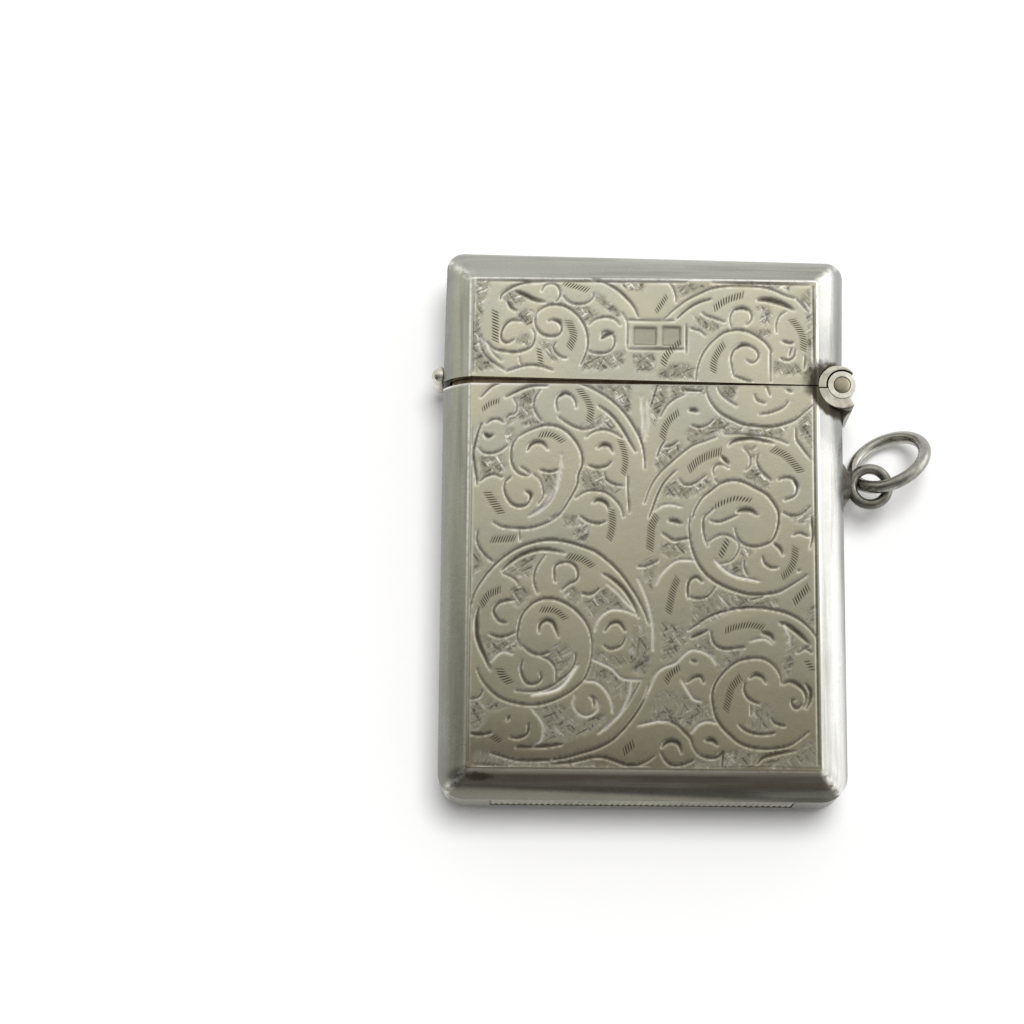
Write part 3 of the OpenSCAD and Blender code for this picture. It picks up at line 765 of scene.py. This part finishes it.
def worn_form(outward):
    """Solid of the shut case's front or back half, with its mitres worn round."""
    first, last = BEVEL_SLOPES
    radius = BEVEL_WIDTH / (math.sin(last) - math.sin(first))
    contours = []
    for step in range(BEVEL_STEPS + 1):
        slope = first + (last - first) * step / BEVEL_STEPS
        grow = radius * (math.sin(slope) - math.sin(first))
        drop = radius * (math.cos(first) - math.cos(slope))
        corner = CORNER_PANEL + (CORNER_OUTER - CORNER_PANEL) * grow / BEVEL_WIDTH
        contours.append(contour(grow, corner, face_height(outward) - outward * drop))
    contours.append(contour(BEVEL_WIDTH, CORNER_OUTER, MID_Z - outward * HALVES_OVERLAP))
    return as_mesh(lofted(contours), "worn_form")


def intersection(first, second):
    """What two closed meshes share, as a bmesh."""
    pair = [add_object("cutting", mesh) for mesh in (first, second)]
    both = pair[0].modifiers.new("both", "BOOLEAN")
    both.operation = "INTERSECT"
    both.solver = "EXACT"
    both.object = pair[1]
    shared = bmesh.new()
    shared.from_object(pair[0], bpy.context.evaluated_depsgraph_get())
    for item in pair:
        bpy.data.objects.remove(item)
    return shared


def add_panel(bm, field, face_z, outward):
    """Adds the engraved surface and its masks to a bmesh, and gives the edges round it."""
    layers = {key: bm.verts.layers.float.new(key) for key in field.masks}
    rim = {edge for edge in bm.edges if edge.is_boundary}
    grid = []
    for row, y in enumerate(field.ys):
        line = []
        for column, x in enumerate(field.xs):
            z = face_z + outward * field.height[row, column]
            vert = bm.verts.new((x * MM, y * MM, z * MM))
            for key, layer in layers.items():
                vert[layer] = field.masks[key][row, column]
            line.append(vert)
        grid.append(line)
    for lower, upper in zip(grid, grid[1:]):
        for corners in zip(lower, lower[1:], upper[1:], upper):
            bm.faces.new(corners if outward > 0 else corners[::-1])
    return [edge for edge in bm.edges if edge.is_boundary and edge not in rim]


def engraved_shell(half, body, designs, outward, material):
    """A half of the body or lid with worn corners, whose flat panel is an engraved surface."""
    node, name = half + "_shell", half + "_engraved"
    on_lid = body == "lid"
    pivot = Vector((HINGE.x, HINGE.y, 0)) * MM
    shut = Matrix.Translation(pivot) @ Matrix.Rotation(LID_AJAR, 4, "Z") @ Matrix.Translation(-pivot)
    bm = bmesh.new()
    bm.from_mesh(frame["nodes"][node].data)
    bmesh.ops.remove_doubles(bm, verts=bm.verts, dist=WELD * MM)
    if on_lid:
        bm.transform(shut)
    bm = intersection(as_mesh(bm, "struck"), worn_form(outward))
    bmesh.ops.remove_doubles(bm, verts=bm.verts, dist=WELD * MM)
    face_z = face_height(outward)

    def on_face(vert):
        return abs(vert.co.z / MM - face_z) < FLAT

    bmesh.ops.delete(bm, geom=[face for face in bm.faces if all(map(on_face, face.verts))], context="FACES")
    rim = [edge for edge in bm.edges if edge.is_boundary]
    shell_faces = set(bm.faces)

    side, end = (reach - GRID_MARGIN for reach in PANEL_HALF)
    if on_lid:
        lid_rim_y = min(vert.co.y for edge in rim for vert in edge.verts) / MM
        field = EngravedField((-side, lid_rim_y + MOUTH_MARGIN), (side, end))
    else:
        field = EngravedField((-side, -end), (side, MOUTH_Y - MOUTH_MARGIN))
    for design in designs:
        field.engrave(design, LID_AJAR if on_lid else 0.0)
    field.wear()
    field.pillow()
    field.fade_edges()

    grid_rim = add_panel(bm, field, face_z, outward)
    bmesh.ops.triangle_fill(bm, edges=rim + grid_rim, use_beauty=True)
    bmesh.ops.recalc_face_normals(bm, faces=bm.faces)
    for face in bm.faces:
        face.smooth = True
    for edge in bm.edges:
        if any(face in shell_faces for face in edge.link_faces):
            edge.smooth = edge.is_manifold and edge.calc_face_angle() < CREASE
    if on_lid:
        bm.transform(shut.inverted())
    open_edges = sum(1 for edge in bm.edges if not edge.is_manifold)
    print(name, len(bm.verts), "vertices", len(bm.faces), "faces", open_edges, "open edges")
    new_piece(name, as_mesh(bm, name), material, body, "engraved_silver", node)


# Solder that holds the eye, in millimetres
FLARE_STEPS = 12
FLARE_SIDES = 48
FLARE_ROOT = 0.3
FLARE_BASE = 2.9
FLARE_TIP = 1.2
FLARE_HOLLOW = 1.2
FLARE_LUMPS = 0.06
FLARE_WAVES = (3, 2)
FLARE_TWIST = 5


def solder_flare(material):
    """Foot of the suspension eye: a hollow-sided, slightly lumpy cone of solder on the narrow side."""
    low, high = (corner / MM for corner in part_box("eye_foot"))
    centre = Vector((low.x - FLARE_ROOT, (low.y + high.y) / 2, (low.z + high.z) / 2))
    length = high.x - low.x + FLARE_ROOT
    rings = []
    for step in range(FLARE_STEPS + 1):
        rise = step / FLARE_STEPS
        radius = FLARE_TIP + (FLARE_BASE - FLARE_TIP) * (1 - rise) ** FLARE_HOLLOW
        ring = []
        for turn in range(FLARE_SIDES):
            angle = 2 * math.pi * turn / FLARE_SIDES
            wave = math.sin(FLARE_WAVES[0] * angle + FLARE_TWIST * rise) * math.cos(FLARE_WAVES[1] * angle)
            lump = 1 - FLARE_LUMPS * (1 + wave) / 2
            around = Vector((0, math.cos(angle), math.sin(angle))) * radius * lump
            ring.append((centre + around + Vector((rise * length, 0, 0))) * MM)
        rings.append(ring)
    bm = lofted(rings)
    for face in bm.faces:
        face.smooth = len(face.verts) == 4
    new_piece("eye_solder", as_mesh(bm, "eye_solder"), material, "body", "ring_silver", "eye_foot")


# Noises, in millimetres: scale along each axis or all of them, detail and roughness
NOISES = {
    "blotch": (0.22, 6.0, 0.62),
    "cloud": (1.7, 5.0, 0.6),
    "grain": (9.0, 3.0, 0.6),
    "scratch": ((9.0, 0.35, 1.0), 3.0, 0.7),
    "cool": (0.13, 3.0, 0.5),
    "down side": ((1.3, 0.06, 0.6), 4.0, 0.6),
    "along end": ((0.06, 1.3, 0.6), 4.0, 0.6),
    "ground": ((2.7, 0.36, 1.0), 4.0, 0.65),
}
NOISE_MEAN = 0.5

# Fades: the values between which an effect changes, then its strength at each of them if it isn't 0 and 1
FADES = {
    "stain": (0.52, 0.92),
    "scratch": (0.62, 0.74),
    "pit": (0.07, 0.03, 0.0, 0.5),
    "pitted": (0.50, 0.62),
    "hinge reach": (5.5, 4.5),
    "panel": (0.12, -0.05),
    "lit_to_shaded": (22, -33),
    "cool": (0.36, 0.66),
    "foot": (-17.5, -23.5, 0.0, 0.75),
    "edge up": (-16, 9, 0.0, 0.4),
    "edge lid": (11, 14, 0.0, 0.3),
    "right_light": (0.9, 1.7),
    "right edge shade": (1.9, 2.55),
    "left top": (-12, 8),
    "left edge": (0.9, 2.2),
    "left to right": (-CASE_HALF[0], CASE_HALF[0]),
    "lid to base": (CASE_HALF[1], -CASE_HALF[1]),
    "base rim": (0.1, 0.65),
    "base shade": (1.0, 1.9),
    "base strip": (1.82, 2.26),
    "on side": (-0.3, 0.3),
    "near hinge": (8.5, 5.5, 0.0, 0.62),
    "streak": (0.44, 0.66, 0.0, 0.45),
    "ground turn": (0.45, 0.55),
    "ground grey": (0.40, 0.62, 0.95, 0.50),
    "ground dark": (0.47, 0.39, 0.0, 0.88),
    "ground_glint": (0.55, 0.64, 0.0, 0.72),
    "glint where lit": (0.2, 0.8, 1.0, 0.3),
    "lip_burnish_highlight": (0.0, 1.0, 0.95, 0.3),
    "mitre": (0.75, 0.05),
    "on slope": (-0.2, 0.1),
    "mitre worn": (0.38, 0.58, 0.05, 0.6),
    "rim": (0.14, 0.04),
    "rim up": (-17, 6, 0.15, 0.95),
    "rim worn": (0.30, 0.55, 0.45, 1.0),
    "mouth": (0.28, 0.04),
    "mouth left": (-4, -13, 0.1, 0.8),
    "grime_and_shade": (1.6, 0.6, 0.0, 0.95),
    "collar": (2.4, 1.9, 0.0, 0.97),
    "dent_shade": (1.0, 0.45, 0.0, 0.8),
    "patina": (0.25, 0.65, 0.8, 1.0),
    "tick": (0.37, 0.14, 0.0, 0.88),
}


class Look:
    """A shader tree, built node by node."""

    def __init__(self, tree):
        self.tree = tree

    def feed(self, socket, value):
        """Links a socket to another, or sets it to a value."""
        if isinstance(value, bpy.types.NodeSocket):
            self.tree.links.new(value, socket)
        else:
            socket.default_value = value

    def add(self, kind, inputs=None, **settings):
        """The outputs of a new node."""
        node = self.tree.nodes.new("ShaderNode" + kind)
        for key, value in settings.items():
            setattr(node, key, value)
        for key, value in (inputs or {}).items():
            self.feed(node.inputs[key], value)
        return node.outputs

    def maths(self, operation, first, second=0.0, third=0.0):
        return self.add("Math", {0: first, 1: second, 2: third}, operation=operation)[0]

    def plus(self, value, other, share=1.0):
        """A value plus a share of another."""
        return self.maths("MULTIPLY_ADD", other, share, value)

    def times(self, value, *others):
        for other in others:
            value = self.maths("MULTIPLY", value, other)
        return value

    def most(self, value, *others):
        for other in others:
            value = self.maths("MAXIMUM", value, other)
        return value

    def size(self, value):
        return self.maths("ABSOLUTE", value)

    def distance(self, place, centre, scale=(1, 1, 0)):
        """Distance from a point, with each axis scaled: by default, from the upright line through it."""
        away = self.add("VectorMath", {0: place, 1: centre}, operation="SUBTRACT")[0]
        away = self.add("VectorMath", {0: away, 1: scale}, operation="MULTIPLY")[0]
        return self.add("VectorMath", {0: away}, operation="LENGTH")["Value"]

    def fade(self, value, fade):
        """Smooth change along a value, by a name in FADES or by its own numbers."""
        start, end, first, last = (*FADES.get(fade, fade), 0.0, 1.0)[:4]
        inputs = {"Value": value, "From Min": start, "From Max": end, "To Min": first, "To Max": last}
        return self.add("MapRange", inputs, interpolation_type="SMOOTHSTEP")[0]

    def noise(self, place, name, turn=0.0):
        """Noise by a name in NOISES, turned and stretched where its scale differs along the axes."""
        scale, detail, roughness = NOISES[name]
        if isinstance(scale, tuple):
            inputs = {"Vector": place, "Scale": [1 / part for part in scale], "Rotation": (0, 0, turn)}
            place = self.add("Mapping", inputs, vector_type="TEXTURE")[0]
            scale = 1.0
        inputs = {"Vector": place, "Scale": scale, "Detail": detail, "Roughness": roughness}
        return self.add("TexNoise", inputs)["Fac"]

    def mix(self, factor, first, second):
        """The first colour where the factor is 0, the second where it is 1."""
        return self.add("Mix", {0: factor, 6: first, 7: second}, data_type="RGBA")[2]

    def chosen(self, factor, first, second):
        """The first value where the factor is 0, the second where it is 1."""
        return self.add("Mix", {0: factor, 2: first, 3: second}, data_type="FLOAT")[0]


def new_material(name):
    """A material, its look and the sockets of its shader."""
    material = bpy.data.materials.new(name)
    material.use_nodes = True
    look = Look(material.node_tree)
    return material, look, look.tree.nodes["Principled BSDF"].inputs


# Worn silver: its stains, scratches, pits, grain, dents, and grime with painted shade round the hinge
STAIN_CLOUD = 0.45
STAIN_ROUGH = 0.12
SCRATCH_TURNS = (0.35, 1.9, -0.6)
SCRATCH_SHARE = 0.22
SCRATCH_PALE = (0.86, 0.84, 0.78, 1)
PIT_SCALE = 1.1
PIT_DARK = (0.03, 0.026, 0.02, 1)
GRAIN_RANGE = (0.3, 0.75)
GRAIN_ROUGH = (-0.05, 0.07)
RELIEF = (0.012, 0.0012, -0.0015)
# Dark colour of patina in the cuts, and of grime with painted shade at the hinge and a dent
GRIME_AND_SHADE = (0.045, 0.037, 0.025, 1)
GRIME_SHADE_CLOUD = 0.25
GRIME_SHADE_EDGE = 0.18
GRIME_SHADE_SHARE = 0.85


def silver(name, polish, tarnish, tarnish_share, roughness, engraved=False, grime_and_shade_from=None):
    """Worn silver: tarnish in blotches, hair scratches, fine grain and small dents.

    Engraved silver takes the engraving's colours. Other silver can darken with grime and painted shade beyond
    a distance from the hinge.
    """
    material, look, sockets = new_material(name)
    place = look.add("TexCoord")["Object"]
    place = look.add("VectorMath", {0: place, 3: 1 / MM}, operation="SCALE")[0]
    blotch, cloud, grain = (look.noise(place, key) for key in ("blotch", "cloud", "grain"))
    stain = look.times(look.fade(look.plus(blotch, cloud, STAIN_CLOUD), "stain"), tarnish_share)
    colour = look.mix(stain, (*polish, 1), (*tarnish, 1))
    scratch = look.most(*(look.fade(look.noise(place, "scratch", turn), "scratch") for turn in SCRATCH_TURNS))
    colour = look.mix(look.times(scratch, SCRATCH_SHARE), colour, SCRATCH_PALE)
    pits = look.add("TexVoronoi", {"Vector": place, "Scale": PIT_SCALE, "Randomness": 1.0})[0]
    pit = look.times(look.fade(pits, "pit"), look.fade(cloud, "pitted"))
    colour = look.mix(pit, colour, PIT_DARK)
    rough = look.fade(grain, (*GRAIN_RANGE, *(roughness + change for change in GRAIN_ROUGH)))
    rough = look.plus(rough, stain, STAIN_ROUGH)
    relief = 0.0
    for part, height in zip((cloud, grain, scratch), RELIEF):
        relief = look.plus(relief, part, height)
    # Grime and painted shade beyond a distance from the hinge
    if grime_and_shade_from is not None:
        away = look.plus(look.distance(place, HINGE), cloud, GRIME_SHADE_CLOUD)
        grime_and_shade = look.fade(away, (grime_and_shade_from, grime_and_shade_from + GRIME_SHADE_EDGE, 0.0, GRIME_SHADE_SHARE))
        colour = look.mix(look.times(grime_and_shade, look.fade(away, "hinge reach")), colour, GRIME_AND_SHADE)
    if engraved:
        colour, rough = engraving_colour(look, place, colour, rough, blotch, cloud)
    bump = look.add("Bump", {"Height": relief, "Distance": MM, "Strength": 1.0})[0]
    for key, value in (("Metallic", 1.0), ("Base Color", colour), ("Roughness", rough), ("Normal", bump)):
        look.feed(sockets[key], value)
    return material


# Colours of the engraved shells: the panel is lit at the lid and painted in shade towards the base, darker
# still at its bottom-left; the slopes carry painted reflections, light on the right by the hinge and in shade
# on the left and at the base
TINT_SHARE = 0.9
PANEL_PALE = (0.555, 0.527, 0.397, 1)
PANEL_COOL = (0.50, 0.50, 0.405, 1)
# Panel in painted shade towards the base
PANEL_SHADE = (0.155, 0.136, 0.074, 1)
PANEL_FOOT = (0.095, 0.078, 0.050, 1)
# Side slopes, painted with reflections of the room: in shade on the left, lighter at its top and darker at
# its outer edge; lit on the right, with a painted highlight and painted shade at its outer edge
BEVEL_LEFT_SHADE = (0.345, 0.355, 0.27, 1)
BEVEL_LEFT_TOP = (0.49, 0.50, 0.395, 1)
BEVEL_LEFT_EDGE = (0.25, 0.253, 0.225, 1)
BEVEL_RIGHT_LIGHT = (0.48, 0.485, 0.47, 1)
EDGE_RIGHT_HIGHLIGHT = (0.80, 0.80, 0.79, 1)
EDGE_RIGHT_SHADE = (0.36, 0.365, 0.36, 1)
# Slopes near the hinge, darkened by grime and painted shade
HINGE_GRIME_SHADE = (0.30, 0.305, 0.30, 1)
BEVEL_STREAK = (0.17, 0.17, 0.145, 1)
# End slopes, painted with reflections: lighter at the lid; painted shade at the base with a lighter rim by
# the panel, the darkest shade further out and a lighter strip at its outer edge
BEVEL_LID = (0.40, 0.405, 0.37, 1)
BEVEL_BASE = (0.085, 0.072, 0.050, 1)
BASE_RIM = (0.52, 0.475, 0.375, 1)
BASE_SHADE = (0.028, 0.025, 0.018, 1)
BASE_STRIP = (0.172, 0.163, 0.122, 1)
GROUND_GREY = (0.255, 0.241, 0.185, 1)
GROUND_DARK = (0.09, 0.085, 0.068, 1)
# Burnished lips and worn creases, painted with a highlight; also the painted glints in the ground
BURNISH_HIGHLIGHT = (0.93, 0.92, 0.86, 1)
# Painted highlight on shiny cuts and glints
SHINE_HIGHLIGHT = (0.84, 0.83, 0.78, 1)

# How unevenly they lie, in millimetres, and where: a line at the panel's edge painted with a highlight, grime
# and painted shade at the hinge, the painted shade of one dent
PANEL_BLOTCH = 14
FOOT_CLOUD = 5.0
FOOT_TILT = 0.16
STRIP_TILT = -0.033
HINGE_CLOUD = 3.0
GROUND_TURNS = (0.65, 2.1)
# The panel's rim carries a line painted with a highlight
RIM_AT = 0.13
# Grime and painted shade round the hinge seat and its collar
GRIME_SHADE_PLACE = HINGE + Vector((-1.5, 0.1, 0))
GRIME_SHADE_RAGGED = -1.5
COLLAR_PLACE = HINGE + Vector((-0.35, -0.45, 0))
COLLAR_RAGGED = -0.7
# Painted shade of a dent near the bottom-left corner
DENT_SHADE_PLACE = (-14.0, -22.15, 8.4)
DENT_SHADE_SCALE = (1 / 1.7, 1 / 0.5, 1)
HALF_TICK = 0.5
PATINA_ROUGH = 0.2
SHINE_SHARE = 0.6
SHINE_ROUGH = -0.12


def engraving_colour(look, place, colour, rough, blotch, cloud):
    """Adds to a silver the warm panel with its painted shade towards the base, the slopes with their painted
    reflections, the ground and cuts with painted highlights and glints, the worn creases with a painted
    highlight, and the grime with painted shade at the hinge and a dent.
    """
    masks = {key: look.add("Attribute", attribute_name=key)["Fac"] for key in (*MASKS, PHASE)}
    x, y = look.add("SeparateXYZ", {0: place})[:2]
    across, along = (look.plus(look.size(axis), -half) for axis, half in zip((x, y), PANEL_HALF))
    beyond = look.most(across, along)
    past_mitre = look.plus(across, along, -1.0)

    # Painted shade: the panel darkens in blotches from the lid towards the base; the same fade dims the
    # painted highlights on lips and glints
    lit_to_shaded = look.fade(look.plus(y, look.plus(blotch, -NOISE_MEAN), PANEL_BLOTCH), "lit_to_shaded")
    panel = look.mix(look.fade(look.noise(place, "cool"), "cool"), PANEL_PALE, PANEL_COOL)
    panel = look.mix(lit_to_shaded, panel, PANEL_SHADE)
    # Darker still towards the panel's bottom-left corner
    foot = look.plus(look.plus(y, x, FOOT_TILT), look.plus(cloud, -NOISE_MEAN), FOOT_CLOUD)
    panel = look.mix(look.fade(foot, "foot"), panel, PANEL_FOOT)

    # Painted reflections on the side slopes: light and a painted highlight on the right, painted shade on the
    # left and at the outer edges
    outer = look.plus(look.plus(beyond, look.fade(y, "edge up")), look.fade(y, "edge lid"))
    right_light = look.mix(look.fade(beyond, "right_light"), BEVEL_RIGHT_LIGHT, EDGE_RIGHT_HIGHLIGHT)
    right_light = look.mix(look.fade(outer, "right edge shade"), right_light, EDGE_RIGHT_SHADE)
    left_shade = look.mix(look.fade(y, "left top"), BEVEL_LEFT_SHADE, BEVEL_LEFT_TOP)
    left_shade = look.mix(look.fade(beyond, "left edge"), left_shade, BEVEL_LEFT_EDGE)
    side_slope = look.mix(look.fade(x, "left to right"), left_shade, right_light)
    # Painted shade on the base slope: lighter by the panel, darkest further out, a lighter strip at the outer
    # edge; the lid's slope is lighter
    base = look.mix(look.fade(beyond, "base rim"), BASE_RIM, BEVEL_BASE)
    base = look.mix(look.fade(beyond, "base shade"), base, BASE_SHADE)
    base = look.mix(look.fade(look.plus(beyond, x, STRIP_TILT), "base strip"), base, BASE_STRIP)
    end_slope = look.mix(look.fade(y, "lid to base"), BEVEL_LID, base)
    on_side = look.fade(past_mitre, "on side")
    slope = look.mix(on_side, end_slope, side_slope)
    # Grime and painted shade on the slopes near the hinge
    near_hinge = look.plus(look.distance(place, HINGE), cloud, HINGE_CLOUD)
    slope = look.mix(look.fade(near_hinge, "near hinge"), slope, HINGE_GRIME_SHADE)
    streak = look.chosen(on_side, look.noise(place, "along end"), look.noise(place, "down side"))
    slope = look.mix(look.fade(streak, "streak"), slope, BEVEL_STREAK)
    colour = look.mix(TINT_SHARE, colour, look.mix(look.fade(beyond, "panel"), slope, panel))

    cuts = [look.noise(place, "ground", turn) for turn in GROUND_TURNS]
    cut = look.chosen(look.fade(cloud, "ground turn"), *cuts)
    for fade, shade in (("ground grey", GROUND_GREY), ("ground dark", GROUND_DARK)):
        colour = look.mix(look.times(masks["ground"], look.fade(cut, fade)), colour, shade)
    # Painted glints in the ground and painted highlights on the burnished lips, both brighter towards the lid
    ground_glint = look.times(masks["ground"], look.fade(cut, "ground_glint"), look.fade(lit_to_shaded, "glint where lit"))
    lip_burnish_highlight = look.times(masks["lip"], look.fade(lit_to_shaded, "lip_burnish_highlight"))
    colour = look.mix(look.most(ground_glint, lip_burnish_highlight), colour, BURNISH_HIGHLIGHT)

    # Worn creases at the mitres, along the panel's rim and at the mouth, painted with a highlight; the rim's
    # is stronger towards the top
    on_slope = look.fade(look.maths("MINIMUM", across, along), "on slope")
    mitre = look.times(look.fade(look.size(past_mitre), "mitre"), on_slope, look.fade(cloud, "mitre worn"))
    rim = look.fade(look.size(look.plus(beyond, -RIM_AT)), "rim")
    rim = look.times(rim, look.fade(y, "rim up"), look.fade(cloud, "rim worn"))
    mouth = look.times(look.fade(look.size(look.plus(y, -MOUTH_Y)), "mouth"), look.fade(x, "mouth left"))
    colour = look.mix(look.most(mitre, rim, mouth), colour, BURNISH_HIGHLIGHT)

    # Grime and painted shade round the hinge seat and its collar
    grime_and_shade = look.fade(look.plus(look.distance(place, GRIME_SHADE_PLACE), cloud, GRIME_SHADE_RAGGED), "grime_and_shade")
    collar = look.fade(look.plus(look.distance(place, COLLAR_PLACE), cloud, COLLAR_RAGGED), "collar")
    # Painted shade of a dent near the bottom-left corner
    dent_shade = look.plus(look.distance(place, DENT_SHADE_PLACE, DENT_SHADE_SCALE), look.plus(cloud, -NOISE_MEAN))
    tick = look.times(masks["row"], look.fade(look.maths("PINGPONG", masks[PHASE], HALF_TICK), "tick"))
    patina = look.times(masks["patina"], look.fade(cloud, "patina"))
    patina = look.most(patina, tick, grime_and_shade, collar, look.fade(dent_shade, "dent_shade"))
    colour = look.mix(patina, colour, GRIME_AND_SHADE)
    # Painted highlight on shiny cuts and glints
    colour = look.mix(look.times(masks["shine_highlight"], SHINE_SHARE), colour, SHINE_HIGHLIGHT)
    rough = look.plus(look.plus(rough, patina, PATINA_ROUGH), masks["shine_highlight"], SHINE_ROUGH)
    return colour, rough


# Finishes: polished colour, tarnished colour and its share, roughness, then any other values for silver()
ENGRAVED_FINISH = ((0.50, 0.50, 0.46), (0.30, 0.295, 0.25), 0.7, 0.27, True)
SOLDER_FINISH = ((0.27, 0.262, 0.23), (0.10, 0.092, 0.075), 0.9, 0.34)
EYE_FINISH = ((0.30, 0.29, 0.255), (0.10, 0.095, 0.08), 0.9, 0.24)

# Shells, and the solder at the eye
engraved_metal = silver("engraved_silver_look", *ENGRAVED_FINISH)
for face, outward, lid_designs in (("front", 1, [LID_DESIGN, CARTOUCHE]), ("back", -1, [LID_DESIGN])):
    for body, designs in (("body", [BODY_DESIGN]), ("lid", lid_designs)):
        engraved_shell(f"{body}_{face}", body, designs, outward, engraved_metal)
solder_flare(silver("solder_look", *SOLDER_FINISH))

# Finishes of the CAD nodes that stay, by the record's material slot. The eye has its own.
FINISHES = {
    # Plain silver darkens with grime and painted shade beyond 2.1 mm from the hinge
    "plain_silver": ((0.78, 0.765, 0.665), (0.36, 0.34, 0.27), 0.9, 0.22, False, 2.1),
    "hinge_silver": ((0.88, 0.865, 0.77), (0.46, 0.44, 0.355), 0.8, 0.18),
    "pin_silver": ((0.40, 0.37, 0.28), (0.24, 0.21, 0.15), 0.7, 0.36),
    "ring_silver": ((0.44, 0.43, 0.39), (0.20, 0.19, 0.165), 0.85, 0.2),
    "inner_silver": ((0.27, 0.215, 0.14), (0.13, 0.095, 0.06), 0.9, 0.40),
    "striker_silver": ((0.38, 0.365, 0.31), (0.25, 0.235, 0.19), 0.8, 0.55),
    "spring_steel": ((0.40, 0.41, 0.42), (0.22, 0.18, 0.14), 0.7, 0.33),
}
EDGE_WORN = ("plain_silver", "hinge_silver", "pin_silver")
EDGE_WIDTH = 0.07 * MM
EDGE_ANGLE = math.radians(40)
EDGE_SEGMENTS = 3


def round_edges(node):
    """Rounds the sharp edges of a small solid part, as handling has done."""
    weld = node.modifiers.new("weld", "WELD")
    weld.merge_threshold = WELD * MM
    edge = node.modifiers.new("worn edges", "BEVEL")
    edge.width = EDGE_WIDTH
    edge.segments = EDGE_SEGMENTS
    edge.limit_method = "ANGLE"
    edge.angle_limit = EDGE_ANGLE
    edge.harden_normals = True


finishes = {slot: silver(slot + "_look", *numbers) for slot, numbers in FINISHES.items()}
for node in frame["nodes"].values():
    for place in node.material_slots:
        slot = place.material.name
        if slot in EDGE_WORN:
            round_edges(node)
        if slot in finishes:
            place.material = finishes[slot]
eye_finish = silver("eye_look", *EYE_FINISH)
for place in frame["nodes"]["suspension_eye"].material_slots:
    place.material = eye_finish

# Floor: pale and plain, white to the camera and in reflections, still taking the shadow
FLOOR_HALF = 1.5
FLOOR_DROP = 0.02 * MM
PAPER = {
    "Base Color": (0.9, 0.9, 0.9, 1),
    "Roughness": 0.9,
    "Specular IOR Level": 0.1,
    "Emission Color": (1, 1, 1, 1),
}
PAPER_GLOW = 0.05
floor_mesh = bpy.data.meshes.new("floor")
floor_sides = ((-1, -1), (1, -1), (1, 1), (-1, 1))
floor_corners = [(x * FLOOR_HALF, y * FLOOR_HALF, -FLOOR_DROP) for x, y in floor_sides]
floor_mesh.from_pydata(floor_corners, [], [(0, 1, 2, 3)])
floor = add_object("floor", floor_mesh)
paper, paper_look, paper_sockets = new_material("paper")
rays = paper_look.add("LightPath")
seen = paper_look.most(rays["Is Camera Ray"], rays["Is Glossy Ray"], rays["Is Transmission Ray"])
for key, value in PAPER.items():
    paper_look.feed(paper_sockets[key], value)
paper_look.feed(paper_sockets["Emission Strength"], paper_look.times(seen, PAPER_GLOW))
floor_mesh.materials.append(paper)

# Light: a soft even room, brighter behind the case, and what the metal mirrors: a bright window to the right
# and a front that is dark except low down. Each is its least level, then steps: an axis, where the change
# starts and ends along it, and the change.
ROOM_LIGHT = (0.14, ((1, -0.3, 0.7, 0.50), (0, -0.2, 0.7, 0.10)))
ROOM_MIRRORED = (0.10, (
    (1, -0.45, -0.8, 0.45),
    (1, -0.75, 0.25, 0.60),
    (1, 0.0, 0.55, 0.75),
    (1, 0.5, 1.0, -0.50),
    (0, 0.35, 0.9, 1.30),
    (0, -0.2, -0.8, -0.35),
))
ROOM_COLOUR = (1.0, 0.99, 0.97, 1)
world = bpy.data.worlds.new("room")
bpy.context.scene.world = world
world.use_nodes = True
room = Look(world.node_tree)
towards = room.add("SeparateXYZ", {0: room.add("TexCoord")["Generated"]})


def room_level(least, steps):
    """Brightness of the room by direction."""
    level = least
    for axis, start, end, change in steps:
        level = room.plus(level, room.fade(towards[axis], (start, end, 0.0, change)))
    return room.most(level, least)


rays = room.add("LightPath")
mirrored = room.most(rays["Is Glossy Ray"], rays["Is Transmission Ray"])
level = room.chosen(mirrored, room_level(*ROOM_LIGHT), room_level(*ROOM_MIRRORED))
level = room.chosen(rays["Is Camera Ray"], level, 1.0)
backdrop = room.tree.nodes["Background"].inputs
room.feed(backdrop["Color"], ROOM_COLOUR)
room.feed(backdrop["Strength"], level)

# Sun: lights the floor and the case, and isn't mirrored
SUN_PLACE = (0.10, 0.19, 1.0)
SUN_ENERGY = 2.4
SUN_SPREAD = math.radians(28)
sun_data = bpy.data.lights.new("sun", "SUN")
sun_data.energy = SUN_ENERGY
sun_data.angle = SUN_SPREAD
sun = add_object("sun", sun_data)
sun.matrix_world = Vector(SUN_PLACE).to_track_quat("Z", "Y").to_matrix().to_4x4()
sun.visible_glossy = False

# Camera, at the photograph's place
CAMERA_PLACE = (-0.011362, -0.0538757, 0.2529868)
CAMERA_TIP = math.radians(12.592)
CAMERA_ROLL = math.radians(0.558)
CAMERA_LENS = 101.957
CAMERA_SENSOR = 36
CAMERA_NEAR = 0.01
camera_data = bpy.data.cameras.new("camera")
camera_data.lens = CAMERA_LENS
camera_data.sensor_width = CAMERA_SENSOR
camera_data.sensor_fit = "HORIZONTAL"
camera_data.clip_start = CAMERA_NEAR
camera = add_object("camera", camera_data)
camera.matrix_world = (Matrix.Translation(CAMERA_PLACE) @ Matrix.Rotation(CAMERA_TIP, 4, "X")
                       @ Matrix.Rotation(CAMERA_ROLL, 4, "Z"))
bpy.context.scene.camera = camera
bpy.context.scene.view_settings.view_transform = "Standard"
